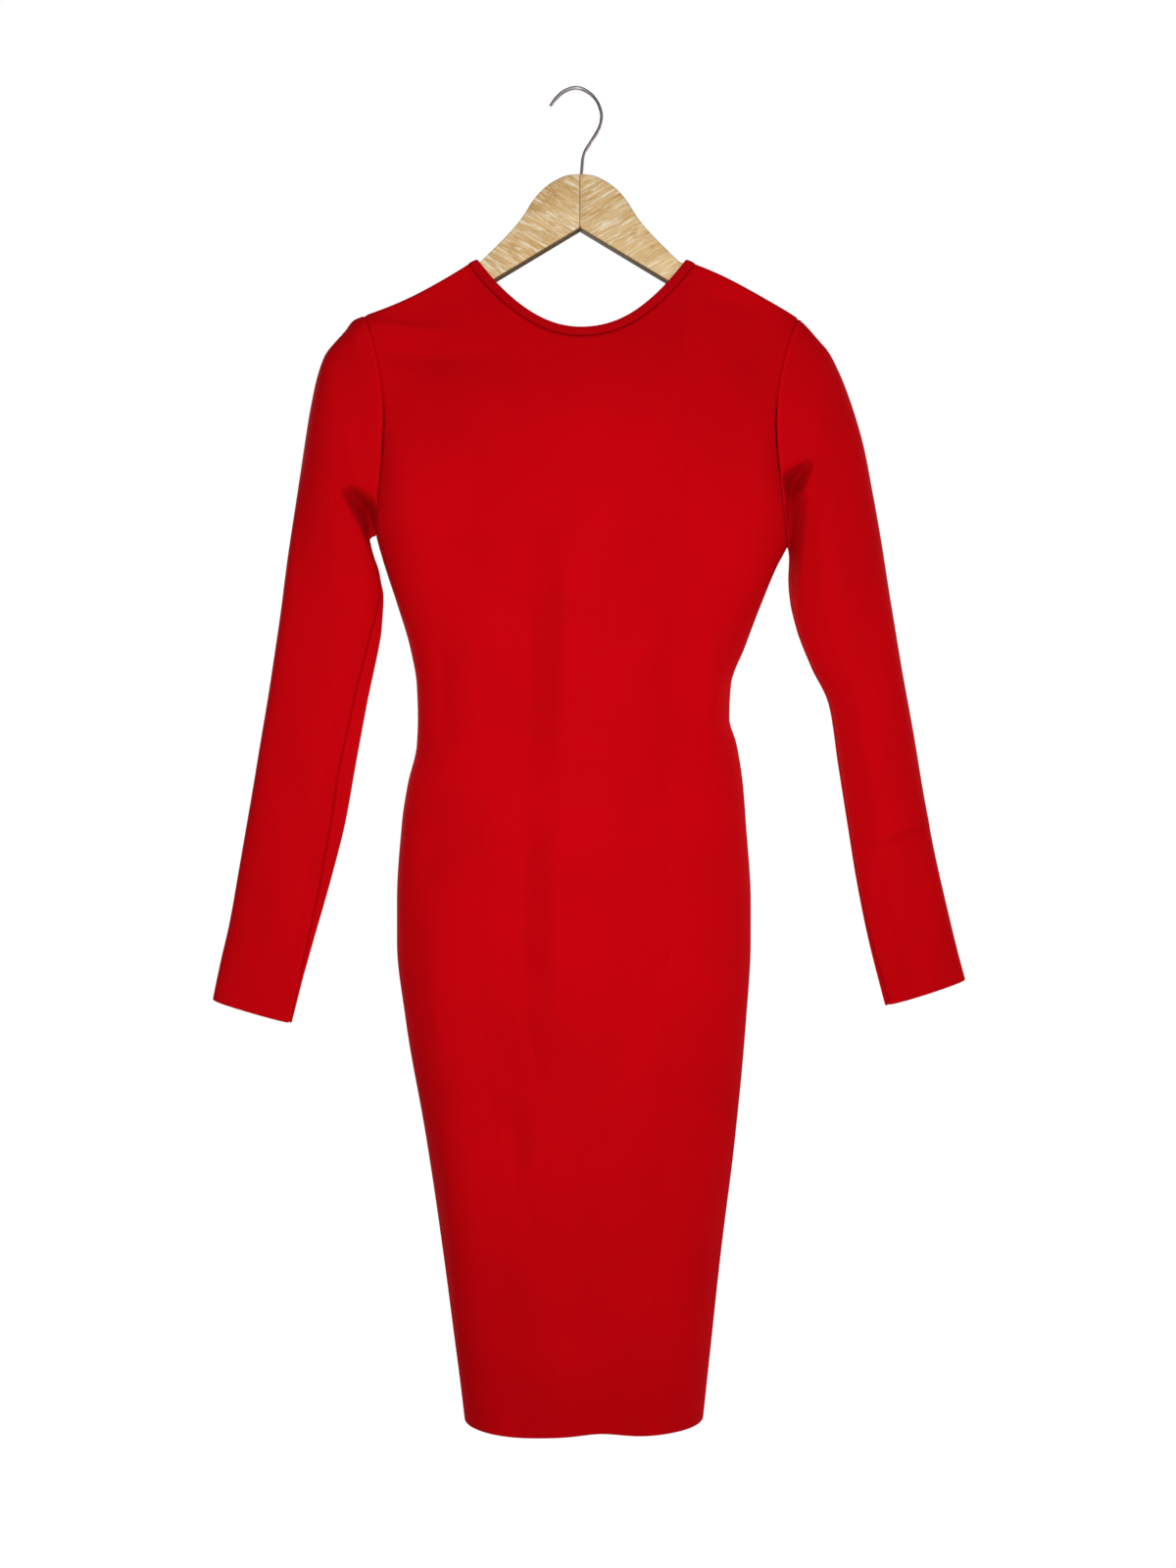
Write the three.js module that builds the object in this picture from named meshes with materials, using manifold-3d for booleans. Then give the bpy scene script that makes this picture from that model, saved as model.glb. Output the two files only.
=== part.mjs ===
// A long-sleeved knitted bodycon dress, hanging on a flat wooden coat hanger with a wire hook.
// Millimetres, +Z up. X runs to the right of someone facing the front of the dress, which faces -Y.
// The origin is the underside of the hook's crown, where a rail or a nail carries it.
import * as THREE from "three";
import { mergeVertices } from "three/addons/utils/BufferGeometryUtils.js";
import Module from "manifold-3d";

// Driving dimensions
const CLOTH = 1.8; // thickness of the knit
const SEAM_GAP = 0.3; // between two pieces at a seam
const HEM_Z = -1148.8;
const NECK_X = 3.9; // middle of the neckline
const NECK_HALF = 90.4; // half the width of the neck opening
const NECK_Z = -149.2; // top of the shoulder seams at the neck
const NECK_DROP = 63.5; // from there down to the middle of the neckline
const BAND_FALL = 4; // how much lower the binding's seam lies on the shoulders
const SHOULDER_BOW = { left: -3.4, right: 2.8 }; // rise of each shoulder line's middle above a straight one
const SHOULDER_HALF_DEPTH = 9.4; // half the cloth's depth over the hanger's arm
const SHOULDER_ROUND = 5; // distance in which the cloth turns over the arm
const BAND_WIDTH = 7.8; // neck binding, from its seam to its edge
const BAND_PROUD = 0.7; // how far the binding stands off each face of the knit
const HANGER_THICK = 12;
const HANGER_EDGE = 1.6; // rounding of the wood's edges
const JOINT_X = 2.3; // plane of the glued joint between the hanger's halves
const WIRE_RADIUS = 1.5;
const WIRE_SIDES = 10; // an even number
const STEM_X = 3.7; // the hook's stem, which both halves grip
const STEM_DEPTH = 24; // length of the stem inside the wood
const STEM_CLEARANCE = 0.3;
const REST = 3.3; // from the shoulder line down to the wood, with the cloth between them

const table = (columns, rows) =>
  rows.map((row) => Object.fromEntries(columns.map((name, i) => [name, row[i]])));

// Body from the underarms to the hem: the side seams, and how far front and back stand off them
const BODY = table(
  ["z", "left", "right", "front", "back"],
  [
    [-388, -174.7, 186.0, 40, 30],
    [-398, -171.7, 181.9, 40.5, 30],
    [-415, -166.6, 172.9, 41, 30],
    [-449, -155.5, 158.9, 40, 30],
    [-483, -145.4, 146.0, 37, 29],
    [-517, -139.4, 133.6, 34.5, 28],
    [-545, -138.5, 132.2, 33.5, 27.5],
    [-568, -139.4, 138.5, 34.5, 28],
    [-602, -147.1, 143.8, 38, 30],
    [-636, -152.2, 146.4, 41, 32],
    [-704, -156.4, 150.6, 44, 34],
    [-738, -156.4, 150.6, 45, 34],
    [-806, -148.8, 146.6, 45, 34],
    [-908, -130.9, 137.0, 44.5, 33],
    [-1010, -115.6, 124.3, 45, 33],
    [-1112, -102.0, 113.2, 47, 34],
    [HEM_Z, -97.6, 109.3, 48, 35],
  ],
);

// Sleeves: each row is a ring of the tube, from the armhole to the cuff. The outer and inner ends of the
// ring, half its depth, and how far its middle bows towards the body.
const SLEEVE_COLUMNS = ["outerX", "outerZ", "innerX", "innerZ", "depth", "bow"];
const SLEEVES = {
  left: table(SLEEVE_COLUMNS, [
    [-184.5, -197.6, -174.7, -388, 24, 15],
    [-193.4, -201.8, -177.0, -388.2, 24.5, 11],
    [-200.6, -211.2, -179.0, -389.2, 25, 8],
    [-209.4, -221.0, -180.2, -391.4, 25, 6],
    [-217.4, -231.4, -180.0, -395.0, 25, 4],
    [-224.2, -250, -178.6, -400, 24.5, 3],
    [-230.5, -280, -175.6, -408, 24, 1],
    [-236.6, -315, -172.4, -416, 23, 0],
    [-242.6, -355, -170.2, -427, 22, 0],
    [-249.5, -400, -168.0, -441, 20, 0],
    [-256.0, -450, -169.6, -468, 18.5, 0],
    [-266.0, -517, -182.6, -534, 16.5, 0],
    [-274.5, -568, -192.0, -585, 15.5, 0],
    [-283.1, -619, -201.2, -636, 14.5, 0],
    [-292.0, -670, -214.4, -688, 14, 0],
    [-300.9, -721, -229.3, -740, 13, 0],
    [-308.6, -755, -239.0, -775, 12.5, 0],
    [-315.4, -787.5, -247.4, -808.8, 12, 0],
  ]),
  right: table(SLEEVE_COLUMNS, [
    [192.1, -200.2, 182.6, -397, 24, 18],
    [200.3, -208.7, 183.4, -399.4, 24.5, 13],
    [209.0, -218.9, 183.8, -402.4, 25, 9],
    [217.0, -228.2, 184.0, -406, 25, 6],
    [228.3, -250, 183.8, -411, 24.5, 3],
    [238.9, -279, 183.4, -417, 24, 1],
    [248.2, -313, 183.0, -424, 23.5, 0],
    [255.8, -352, 183.3, -433, 23, 0],
    [264.3, -400, 184.8, -446, 22, 0],
    [272.0, -449, 190.4, -469, 21, 0],
    [277.6, -484, 203.0, -501, 21, 0],
    [283.1, -517, 218.4, -534, 21, 0],
    [292.4, -568, 226.2, -585, 20, 0],
    [300.9, -619, 234.2, -636, 18, 0],
    [311.0, -670, 242.5, -688, 16, 0],
    [323.0, -721, 253.4, -741, 14, 0],
    [329.5, -747, 260.5, -769, 13, 0],
    [335.8, -770.5, 266.9, -793.5, 12.5, 0],
  ]),
};

// Folds: soft ridges (rise above 0) and troughs (below 0) along a line seen from the front
const FOLDS = table(
  ["side", "fromX", "fromZ", "toX", "toZ", "width", "rise"],
  [
    ["front", -178, -203, -80, -212, 7, 2.2],
    ["front", -170, -226, -75, -232, 10, -2.5],
    ["front", 6, -345, 8, -650, 18, 3],
    ["front", -28, -390, -28, -770, 16, -3.5],
    ["front", -28, -770, -44, -960, 15, -4.5],
    ["front", 98, -470, 100, -630, 12, -4],
    ["front", 28, -1060, 28, -1160, 22, -6],
    ["front", -208, -352, -184, -386, 13, -11],
    ["front", 192, -340, 192, -392, 14, -11],
    ["back", 24, -380, 20, -620, 20, 3],
    ["back", -40, -480, -34, -860, 18, -3.5],
    ["back", 66, -700, 58, -960, 17, -3.5],
    ["back", -20, -1060, -22, -1160, 20, -5],
    ["back", -204, -348, -184, -384, 14, -8],
    ["back", 196, -345, 192, -392, 14, -8],
  ],
);

// Upper edge of a hanger half: distance from the joint, and height, down to where the cloth covers it.
// From there the arm runs just under the shoulder seam.
const WOOD_TOP = table(
  ["out", "z"],
  [
    [0, -74.9],
    [10, -75.9],
    [21, -80.3],
    [29.5, -86.1],
    [36.4, -92.7],
    [41.4, -98.9],
    [46, -106.5],
    [54, -117.9],
    [65, -130.1],
    [77, -142.1],
    [86, -150.8],
  ],
);
// That stretch: the arm dips by low to clear the neck binding
const WOOD_COVERED = table(
  ["out", "low"],
  [
    [92, BAND_PROUD],
    [102, BAND_PROUD],
    [106, 0],
    [126, 0],
    [154, 0],
    [182, 0],
  ],
);
// Rounded end of the arm, inside the sleeve head
const WOOD_TIP = table(
  ["out", "z"],
  [
    [190, -208.2],
    [196.5, -214],
    [201, -220],
    [203, -226.5],
    [202.5, -232.5],
    [198.5, -237],
    [192, -237.4],
  ],
);
const WOOD_NOTCH_Z = -121.8; // where the lower edges of the halves meet

// Centre line of the hook, from its tip over the crown and down the stem
const HOOK = table(
  ["x", "z"],
  [
    [-23.6, -14.6],
    [-18.2, -7.4],
    [-10.2, -0.9],
    [0, 1.5],
    [9.9, -2.6],
    [16, -8.9],
    [19.8, -16.8],
    [21, -25],
    [19.4, -32.6],
    [15.6, -39.6],
    [11.2, -46.6],
    [7.2, -53.2],
    [5, -60],
    [4.1, -68],
  ],
);

// Monotone cubic through a table's rows, so that outlines stay smooth without overshooting
function curveOf(rows, key, value) {
  const t = rows.map(typeof key === "function" ? key : (row) => row[key]);
  const p = rows.map((row) => row[value]);
  const rising = t[1] > t[0] ? 1 : -1;
  const slope = p.slice(1).map((next, i) => (next - p[i]) / (t[i + 1] - t[i]));
  const tangent = p.map((_, i) => {
    if (i === 0) return slope[0];
    if (i === p.length - 1) return slope[i - 1];
    const [a, b] = [slope[i - 1], slope[i]];
    return a * b <= 0 ? 0 : (2 * a * b) / (a + b);
  });
  return (at) => {
    let i = 0;
    while (i < t.length - 2 && rising * (at - t[i + 1]) > 0) i++;
    const span = t[i + 1] - t[i];
    const u = THREE.MathUtils.clamp((at - t[i]) / span, 0, 1);
    const [u2, u3] = [u * u, u * u * u];
    return (
      (2 * u3 - 3 * u2 + 1) * p[i] +
      (u3 - 2 * u2 + u) * span * tangent[i] +
      (3 * u2 - 2 * u3) * p[i + 1] +
      (u3 - u2) * span * tangent[i + 1]
    );
  };
}

const lerp = THREE.MathUtils.lerp;
const bodyCurve = (name) => curveOf(BODY, "z", name);
const BODY_LEFT = bodyCurve("left");
const BODY_RIGHT = bodyCurve("right");
const BODY_DEPTH = { front: bodyCurve("front"), back: bodyCurve("back") };

// Across a ring, 0 at its outer end and 1 at its inner: full at the outer end, round at the inner one
const OUTER_FULLNESS = 3;
const INNER_FULLNESS = 2;
function ringProfile(s) {
  const power = s < 0.5 ? OUTER_FULLNESS : INNER_FULLNESS;
  const c = Math.abs(1 - 2 * s);
  return Math.pow(Math.max(0, 1 - Math.pow(c, power)), 1 / power);
}

// Armhole seams bow most a little above their middle
const BOW_SKEW = 0.8;
const bowProfile = (s) => Math.sin(Math.PI * Math.pow(s, BOW_SKEW));

const FOLD_END = 0.45; // share of a fold's rise that is left at its ends
function foldRise(side, x, z) {
  let rise = 0;
  for (const fold of FOLDS) {
    if (fold.side !== side) continue;
    const [dx, dz] = [fold.toX - fold.fromX, fold.toZ - fold.fromZ];
    const along = ((x - fold.fromX) * dx + (z - fold.fromZ) * dz) / (dx * dx + dz * dz);
    const t = THREE.MathUtils.clamp(along, 0, 1);
    const off = Math.hypot(x - fold.fromX - t * dx, z - fold.fromZ - t * dz);
    const fade = lerp(FOLD_END, 1, Math.sin(Math.PI * t));
    rise += fold.rise * fade * Math.exp(-Math.pow(off / fold.width, 2));
  }
  return rise;
}

const SIGN = { front: -1, back: 1 };
const FOLD_EDGE = 14; // folds die out this near a piece's turned edges
function withFolds(side, x, z, depth) {
  const share = THREE.MathUtils.smoothstep(depth, 0, FOLD_EDGE);
  return new THREE.Vector3(x, SIGN[side] * (depth + share * foldRise(side, x, z)), z);
}

// A point of a sleeve: t from 0 at the armhole to 1 at the cuff, s from 0 at the outer edge to 1 at the inner
function sleeveOf(name) {
  const rows = SLEEVES[name];
  const at = (row, i) => i / (rows.length - 1);
  const column = Object.fromEntries(
    SLEEVE_COLUMNS.map((c) => [c, curveOf(rows, at, c)]),
  );
  const towardsBody = name === "left" ? 1 : -1;
  return (side, t, s) => {
    const x =
      lerp(column.outerX(t), column.innerX(t), s) +
      towardsBody * column.bow(t) * bowProfile(s);
    const z = lerp(column.outerZ(t), column.innerZ(t), s);
    return withFolds(side, x, z, column.depth(t) * ringProfile(s));
  };
}
const SLEEVE_POINT = { left: sleeveOf("left"), right: sleeveOf("right") };

// The line that the cloth hangs from: the shoulder seams, carried on over the neck opening
const LEFT_SHOULDER = SLEEVES.left[0];
const RIGHT_SHOULDER = SLEEVES.right[0];
const SEAM_HALF = NECK_HALF + BAND_WIDTH; // the binding's seam, at the shoulder seams
const SEAM_Z = NECK_Z - BAND_FALL;
const NECK_RISE = 26; // how much higher that line is in the middle
function crest(x) {
  const out = (x - NECK_X) / SEAM_HALF;
  if (Math.abs(out) < 1) return SEAM_Z + NECK_RISE * (1 - out * out);
  const [arm, bow] = x < NECK_X ? [LEFT_SHOULDER, SHOULDER_BOW.left] : [RIGHT_SHOULDER, SHOULDER_BOW.right];
  const t = (x - NECK_X - Math.sign(out) * SEAM_HALF) / (arm.outerX - NECK_X - Math.sign(out) * SEAM_HALF);
  return lerp(SEAM_Z, arm.outerZ, t) + 4 * bow * t * (1 - t);
}

const underarmZ = (across) => lerp(LEFT_SHOULDER.innerZ, RIGHT_SHOULDER.innerZ, (across + 1) / 2);
const FULL_DROP = 190; // below the crest the cloth stands off fully
const DROP_EASE = 1.7; // how slowly it starts to
function standOff(side, across, x, z) {
  const chest = BODY_DEPTH[side](underarmZ(across));
  const below = Math.max(0, crest(x) - z);
  const turn = 1 - Math.min(below / SHOULDER_ROUND, 1);
  const cap = Math.pow(1 - Math.pow(turn, 3), 1 / 3);
  const grow = Math.pow(Math.sin((Math.PI / 2) * Math.min(below / FULL_DROP, 1)), DROP_EASE);
  return SHOULDER_HALF_DEPTH * cap + (chest - SHOULDER_HALF_DEPTH) * grow;
}

// Top edge of a body panel: shoulder seam, neck seam, shoulder seam. across runs from -1 to 1.
const NECK_ACROSS = SEAM_HALF / ((RIGHT_SHOULDER.outerX - LEFT_SHOULDER.outerX) / 2);
const neckEdge = (w) => ({ x: NECK_X + NECK_HALF * w, z: NECK_Z - NECK_DROP * (1 - w * w) });
const SEAM_DROP = NECK_DROP + BAND_WIDTH - BAND_FALL;
const neckSeam = (w) => ({ x: NECK_X + SEAM_HALF * w, z: SEAM_Z - SEAM_DROP * (1 - w * w) });
function topEdge(across) {
  if (Math.abs(across) <= NECK_ACROSS) return neckSeam(across / NECK_ACROSS);
  const shoulder = across < 0 ? LEFT_SHOULDER : RIGHT_SHOULDER;
  const t = (Math.abs(across) - NECK_ACROSS) / (1 - NECK_ACROSS);
  const x = lerp(neckSeam(Math.sign(across)).x, shoulder.outerX, t);
  return { x, z: crest(x) };
}

// A point of a body panel. down is 0 at the top edge, 1 at the underarms and 2 at the hem.
const FLATNESS = 2.8; // how flat the middle of the panel is across, from the underarms down
const YOKE_FLATNESS = 12; // and along the shoulders
function panelPoint(side, across, down) {
  const share = (across + 1) / 2;
  if (down >= 1) {
    const t = down - 1;
    const z = lerp(underarmZ(across), HEM_Z, t);
    const ends = [LEFT_SHOULDER, RIGHT_SHOULDER].map((arm) => lerp(arm.innerZ, HEM_Z, t));
    const x = lerp(BODY_LEFT(ends[0]), BODY_RIGHT(ends[1]), share);
    const round = Math.sqrt(Math.max(0, 1 - Math.pow(Math.abs(across), FLATNESS)));
    return withFolds(side, x, z, BODY_DEPTH[side](z) * round);
  }
  const left = SLEEVE_POINT.left(side, 0, down);
  const right = SLEEVE_POINT.right(side, 0, down);
  const top = topEdge(across);
  const topX = lerp(LEFT_SHOULDER.outerX, RIGHT_SHOULDER.outerX, share);
  const x = lerp(left.x, right.x, share) + (top.x - topX) * (1 - down);
  const z = lerp(top.z, underarmZ(across), down);
  const arm = across < 0 ? LEFT_SHOULDER : RIGHT_SHOULDER;
  const seamDepth = arm.depth * ringProfile(down);
  const settled = THREE.MathUtils.smoothstep(down, 0, 1);
  const flatness = lerp(YOKE_FLATNESS, FLATNESS, settled);
  const root = lerp(1, 2, settled);
  const round = Math.pow(1 - Math.pow(Math.abs(across), flatness), 1 / root);
  return withFolds(side, x, z, lerp(seamDepth, standOff(side, across, x, z), round));
}

// Rows of a panel: close together where the cloth turns over the hanger's arm
const YOKE_ROWS = [0, 0.002, 0.007, 0.016, 0.035, 0.075, 0.14, 0.23, 0.34, 0.46, 0.59, 0.72, 0.84, 0.94, 1];
const SKIRT_ROWS = [0.035, 0.08, 0.125, 0.165, 0.2, 0.24, 0.29, 0.35, 0.42, 0.5, 0.6, 0.7, 0.8, 0.9, 0.97, 1];
const PANEL_ROWS = [...YOKE_ROWS, ...SKIRT_ROWS.map((t) => 1 + t)];
const NECK_COLUMNS = [0, 0.18, 0.36, 0.53, 0.69, 0.82, 0.92, 0.98, 0.997];
const SHOULDER_COLUMNS = 5;
const PANEL_COLUMNS = (() => {
  const half = NECK_COLUMNS.map((w) => w * NECK_ACROSS);
  for (let i = 0; i <= SHOULDER_COLUMNS; i++) {
    const turn = Math.sin(((i / SHOULDER_COLUMNS) * Math.PI) / 2);
    half.push(lerp(NECK_ACROSS, 1, turn));
  }
  return [...half.slice(1).reverse().map((a) => -a), ...half];
})();
const SLEEVE_RINGS = 20;

const panelSkin = (side) =>
  PANEL_ROWS.map((down) => PANEL_COLUMNS.map((across) => panelPoint(side, across, down)));

// A sleeve's skin: round each ring from the outer edge over the front to the inner edge and back behind
const ringSpots = YOKE_ROWS.length - 1;
function sleeveSkin(name) {
  const rings = [];
  for (let k = 0; k <= SLEEVE_RINGS; k++) {
    const t = k / SLEEVE_RINGS;
    const even = THREE.MathUtils.smoothstep(t, 0, 0.35);
    const s = YOKE_ROWS.map((spot, j) =>
      lerp(spot, (1 - Math.cos((Math.PI * j) / ringSpots)) / 2, even),
    );
    const front = s.map((spot) => SLEEVE_POINT[name]("front", t, spot));
    const back = s.slice(1, -1).map((spot) => SLEEVE_POINT[name]("back", t, spot));
    rings.push([...front, ...back.reverse()]);
  }
  return rings;
}

// Outward normals, shared where skins meet along a seam
const spotKey = (p) => [p.x, p.y, p.z].map((v) => Math.round(v * 100)).join();
function sharedNormals(skins) {
  const sums = new Map();
  const add = (p, n) => {
    const key = spotKey(p);
    if (!sums.has(key)) sums.set(key, new THREE.Vector3());
    sums.get(key).add(n);
  };
  for (const { grid, closed, flip } of skins) {
    const wide = grid[0].length;
    const last = closed ? wide : wide - 1;
    for (let r = 0; r < grid.length - 1; r++)
      for (let c = 0; c < last; c++) {
        const corners = [grid[r][c], grid[r][(c + 1) % wide], grid[r + 1][(c + 1) % wide], grid[r + 1][c]];
        const one = corners[2].clone().sub(corners[0]);
        const two = corners[3].clone().sub(corners[1]);
        const n = one.cross(two).normalize().multiplyScalar(flip ? 1 : -1);
        corners.forEach((p) => add(p, n));
      }
  }
  return (p) => sums.get(spotKey(p)).clone().normalize();
}

// Moves an edge's points into their own piece, square to the seam, by half the seam's gap
function openSeam(layers, edge, inwards) {
  for (const grid of layers) {
    const steps = edge.map(([r, c], i) => {
      const [nr, nc] = inwards(r, c);
      const [br, bc] = edge[Math.max(i - 1, 0)];
      const [ar, ac] = edge[Math.min(i + 1, edge.length - 1)];
      const along = grid[ar][ac].clone().sub(grid[br][bc]);
      const inward = grid[nr][nc].clone().sub(grid[r][c]);
      return inward.sub(inward.clone().projectOnVector(along)).setLength(SEAM_GAP / 2);
    });
    edge.forEach(([r, c], i) => grid[r][c].add(steps[i]));
  }
}

// One closed wall from its outer and inner layers
function wall(outer, inner, closed, flip) {
  const [high, wide] = [outer.length, outer[0].length];
  const spots = [...outer.flat(), ...inner.flat()];
  const at = (layer, r, c) => layer * high * wide + r * wide + (c % wide);
  const faces = [];
  const quad = (a, b, c, d) =>
    faces.push(...(flip ? [a, b, c, a, c, d] : [a, c, b, a, d, c]));
  const last = closed ? wide : wide - 1;
  for (let r = 0; r < high - 1; r++)
    for (let c = 0; c < last; c++) {
      quad(at(0, r, c), at(0, r, c + 1), at(0, r + 1, c + 1), at(0, r + 1, c));
      quad(at(1, r, c), at(1, r + 1, c), at(1, r + 1, c + 1), at(1, r, c + 1));
    }
  for (let c = 0; c < last; c++) {
    quad(at(0, 0, c + 1), at(0, 0, c), at(1, 0, c), at(1, 0, c + 1));
    quad(at(0, high - 1, c), at(0, high - 1, c + 1), at(1, high - 1, c + 1), at(1, high - 1, c));
  }
  if (!closed)
    for (let r = 0; r < high - 1; r++) {
      quad(at(0, r, 0), at(0, r + 1, 0), at(1, r + 1, 0), at(1, r, 0));
      quad(at(0, r + 1, wide - 1), at(0, r, wide - 1), at(1, r, wide - 1), at(1, r + 1, wide - 1));
    }
  return geometryOf(spots, faces);
}

function geometryOf(spots, faces) {
  const geometry = new THREE.BufferGeometry().setFromPoints(spots);
  geometry.setIndex(faces);
  geometry.computeVertexNormals();
  return geometry;
}

const skins = {
  front: { grid: panelSkin("front"), closed: false, flip: false },
  back: { grid: panelSkin("back"), closed: false, flip: true },
  left: { grid: sleeveSkin("left"), closed: true, flip: false },
  right: { grid: sleeveSkin("right"), closed: true, flip: true },
};
const normalAt = sharedNormals(Object.values(skins));

function layersOf({ grid }) {
  const outer = grid.map((row) => row.map((p) => p.clone()));
  const inner = grid.map((row) =>
    row.map((p) => p.clone().addScaledVector(normalAt(p), -CLOTH)),
  );
  return [outer, inner];
}

// The row whose points tell which way is inwards from a seam along the top edge
const YOKE_INWARD_ROW = 4;
const SLEEVE_INWARD_RING = 2;
const topOf = (layers) => layers[0][0].map((_, c) => [0, c]);

function panelGeometry(side) {
  const layers = layersOf(skins[side]);
  const wide = PANEL_COLUMNS.length;
  const column = (c) => PANEL_ROWS.map((_, r) => [r, c]);
  openSeam(layers, column(0), (r) => [r, 1]);
  openSeam(layers, column(wide - 1), (r) => [r, wide - 2]);
  openSeam(layers, topOf(layers), (r, c) => [YOKE_INWARD_ROW, c]);
  return wall(...layers, false, skins[side].flip);
}

function sleeveGeometry(name) {
  const layers = layersOf(skins[name]);
  openSeam(layers, topOf(layers), (r, c) => [SLEEVE_INWARD_RING, c]);
  return wall(...layers, true, skins[name].flip);
}

// Neck binding: a rounded strip swept round the neck opening, over both shoulder seams
const BAND_CORNERS = table(
  ["across", "off"],
  [
    [0, 0.35],
    [0.2, 1],
    [0.78, 1],
    [1, 0.55],
    [1, -0.55],
    [0.78, -1],
    [0.2, -1],
    [0, -0.35],
  ],
);
// From one shoulder seam to just before the other, at the panels' own columns
const BAND_STATIONS = [-1, ...NECK_COLUMNS.slice(1).reverse().map((w) => -w), ...NECK_COLUMNS];
function bandGeometry() {
  const half = CLOTH / 2 + BAND_PROUD;
  const surface = (side, w, { x, z }) => withFolds(side, x, z, standOff(side, w * NECK_ACROSS, x, z));
  const loop = [];
  for (const side of ["front", "back"])
    for (const station of BAND_STATIONS) {
      const w = -SIGN[side] * station;
      loop.push([surface(side, w, neckSeam(w)), surface(side, w, neckEdge(w))]);
    }
  const count = loop.length;
  const spots = [];
  loop.forEach(([seam, edge], i) => {
    const next = loop[(i + 1) % count];
    const before = loop[(i + count - 1) % count];
    const along = next[0].clone().add(next[1]).sub(before[0]).sub(before[1]).normalize();
    const out = edge.clone().sub(seam);
    const width = out.length();
    out.normalize();
    const normal = along.clone().cross(out).normalize();
    const foot = seam.clone().addScaledVector(normal, -CLOTH / 2);
    for (const corner of BAND_CORNERS) {
      const rise = lerp(SEAM_GAP, width, corner.across);
      const spot = foot.clone().addScaledVector(out, rise);
      spots.push(spot.addScaledVector(normal, corner.off * half));
    }
  });
  const faces = [];
  const sides = BAND_CORNERS.length;
  for (let i = 0; i < count; i++)
    for (let j = 0; j < sides; j++) {
      const a = i * sides + j;
      const b = i * sides + ((j + 1) % sides);
      const c = ((i + 1) % count) * sides + ((j + 1) % sides);
      const d = ((i + 1) % count) * sides + j;
      faces.push(a, c, b, a, d, c);
    }
  return geometryOf(spots, faces);
}

// Hanger: two flat wooden halves that meet in a glued joint, and a wire hook
const wasm = await Module();
wasm.setup();
function solidOf(geometry) {
  const bare = geometry.index ? geometry.toNonIndexed() : geometry.clone();
  ["normal", "uv"].forEach((name) => bare.deleteAttribute(name));
  const merged = mergeVertices(bare, 1e-3);
  return new wasm.Manifold(
    new wasm.Mesh({
      numProp: 3,
      vertProperties: merged.attributes.position.array,
      triVerts: new Uint32Array(merged.index.array),
    }),
  );
}
function geometryOfSolid(solid) {
  const mesh = solid.getMesh();
  const geometry = new THREE.BufferGeometry();
  geometry.setAttribute("position", new THREE.BufferAttribute(mesh.vertProperties, 3));
  geometry.setIndex(new THREE.BufferAttribute(mesh.triVerts, 1));
  geometry.computeVertexNormals();
  return geometry;
}

function woodGeometry(direction) {
  const face = JOINT_X + (direction * SEAM_GAP) / 2;
  const spot = ({ out, z }) => new THREE.Vector2(JOINT_X + direction * out, z);
  const covered = WOOD_COVERED.map(({ out, low }) => {
    const p = spot({ out, z: 0 });
    return p.setY(crest(p.x) - low - REST);
  });
  const points = [
    new THREE.Vector2(face, WOOD_TOP[0].z),
    ...WOOD_TOP.slice(1).map(spot),
    ...covered,
    ...WOOD_TIP.map(spot),
    new THREE.Vector2(face, WOOD_NOTCH_Z),
  ];
  const geometry = new THREE.ExtrudeGeometry(new THREE.Shape(points), {
    depth: HANGER_THICK - 2 * HANGER_EDGE,
    bevelEnabled: true,
    bevelThickness: HANGER_EDGE,
    bevelSize: HANGER_EDGE,
    bevelOffset: -HANGER_EDGE,
    bevelSegments: 2,
    steps: 1,
  });
  geometry.translate(0, 0, HANGER_EDGE - HANGER_THICK / 2);
  geometry.rotateX(Math.PI / 2);
  return geometry;
}

const SOCKET_TOP_Z = WOOD_TOP[0].z;
function hangerHalf(direction) {
  const radius = WIRE_RADIUS + STEM_CLEARANCE;
  const length = STEM_DEPTH + 2 * STEM_CLEARANCE;
  const drill = new THREE.CylinderGeometry(radius, radius, length * 2, WIRE_SIDES * 2);
  drill.rotateX(Math.PI / 2);
  drill.translate(STEM_X, 0, SOCKET_TOP_Z);
  return geometryOfSolid(solidOf(woodGeometry(direction)).subtract(solidOf(drill)));
}

function hookGeometry() {
  const route = [
    ...HOOK.map((row) => new THREE.Vector3(row.x, 0, row.z)),
    new THREE.Vector3(STEM_X, 0, SOCKET_TOP_Z),
    new THREE.Vector3(STEM_X, 0, SOCKET_TOP_Z - STEM_DEPTH),
  ];
  const circle = new THREE.Shape();
  circle.absarc(0, 0, WIRE_RADIUS, 0, 2 * Math.PI);
  return new THREE.ExtrudeGeometry(circle, {
    steps: 44,
    curveSegments: WIRE_SIDES / 2,
    extrudePath: new THREE.CatmullRomCurve3(route),
  });
}

const knit = () => new THREE.MeshStandardMaterial({ color: 0xbc0109, roughness: 0.85, metalness: 0 });
const wood = () => new THREE.MeshStandardMaterial({ color: 0xcfa56c, roughness: 0.45, metalness: 0 });
const steel = () => new THREE.MeshStandardMaterial({ color: 0xc8c6c4, roughness: 0.22, metalness: 1 });

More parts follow.
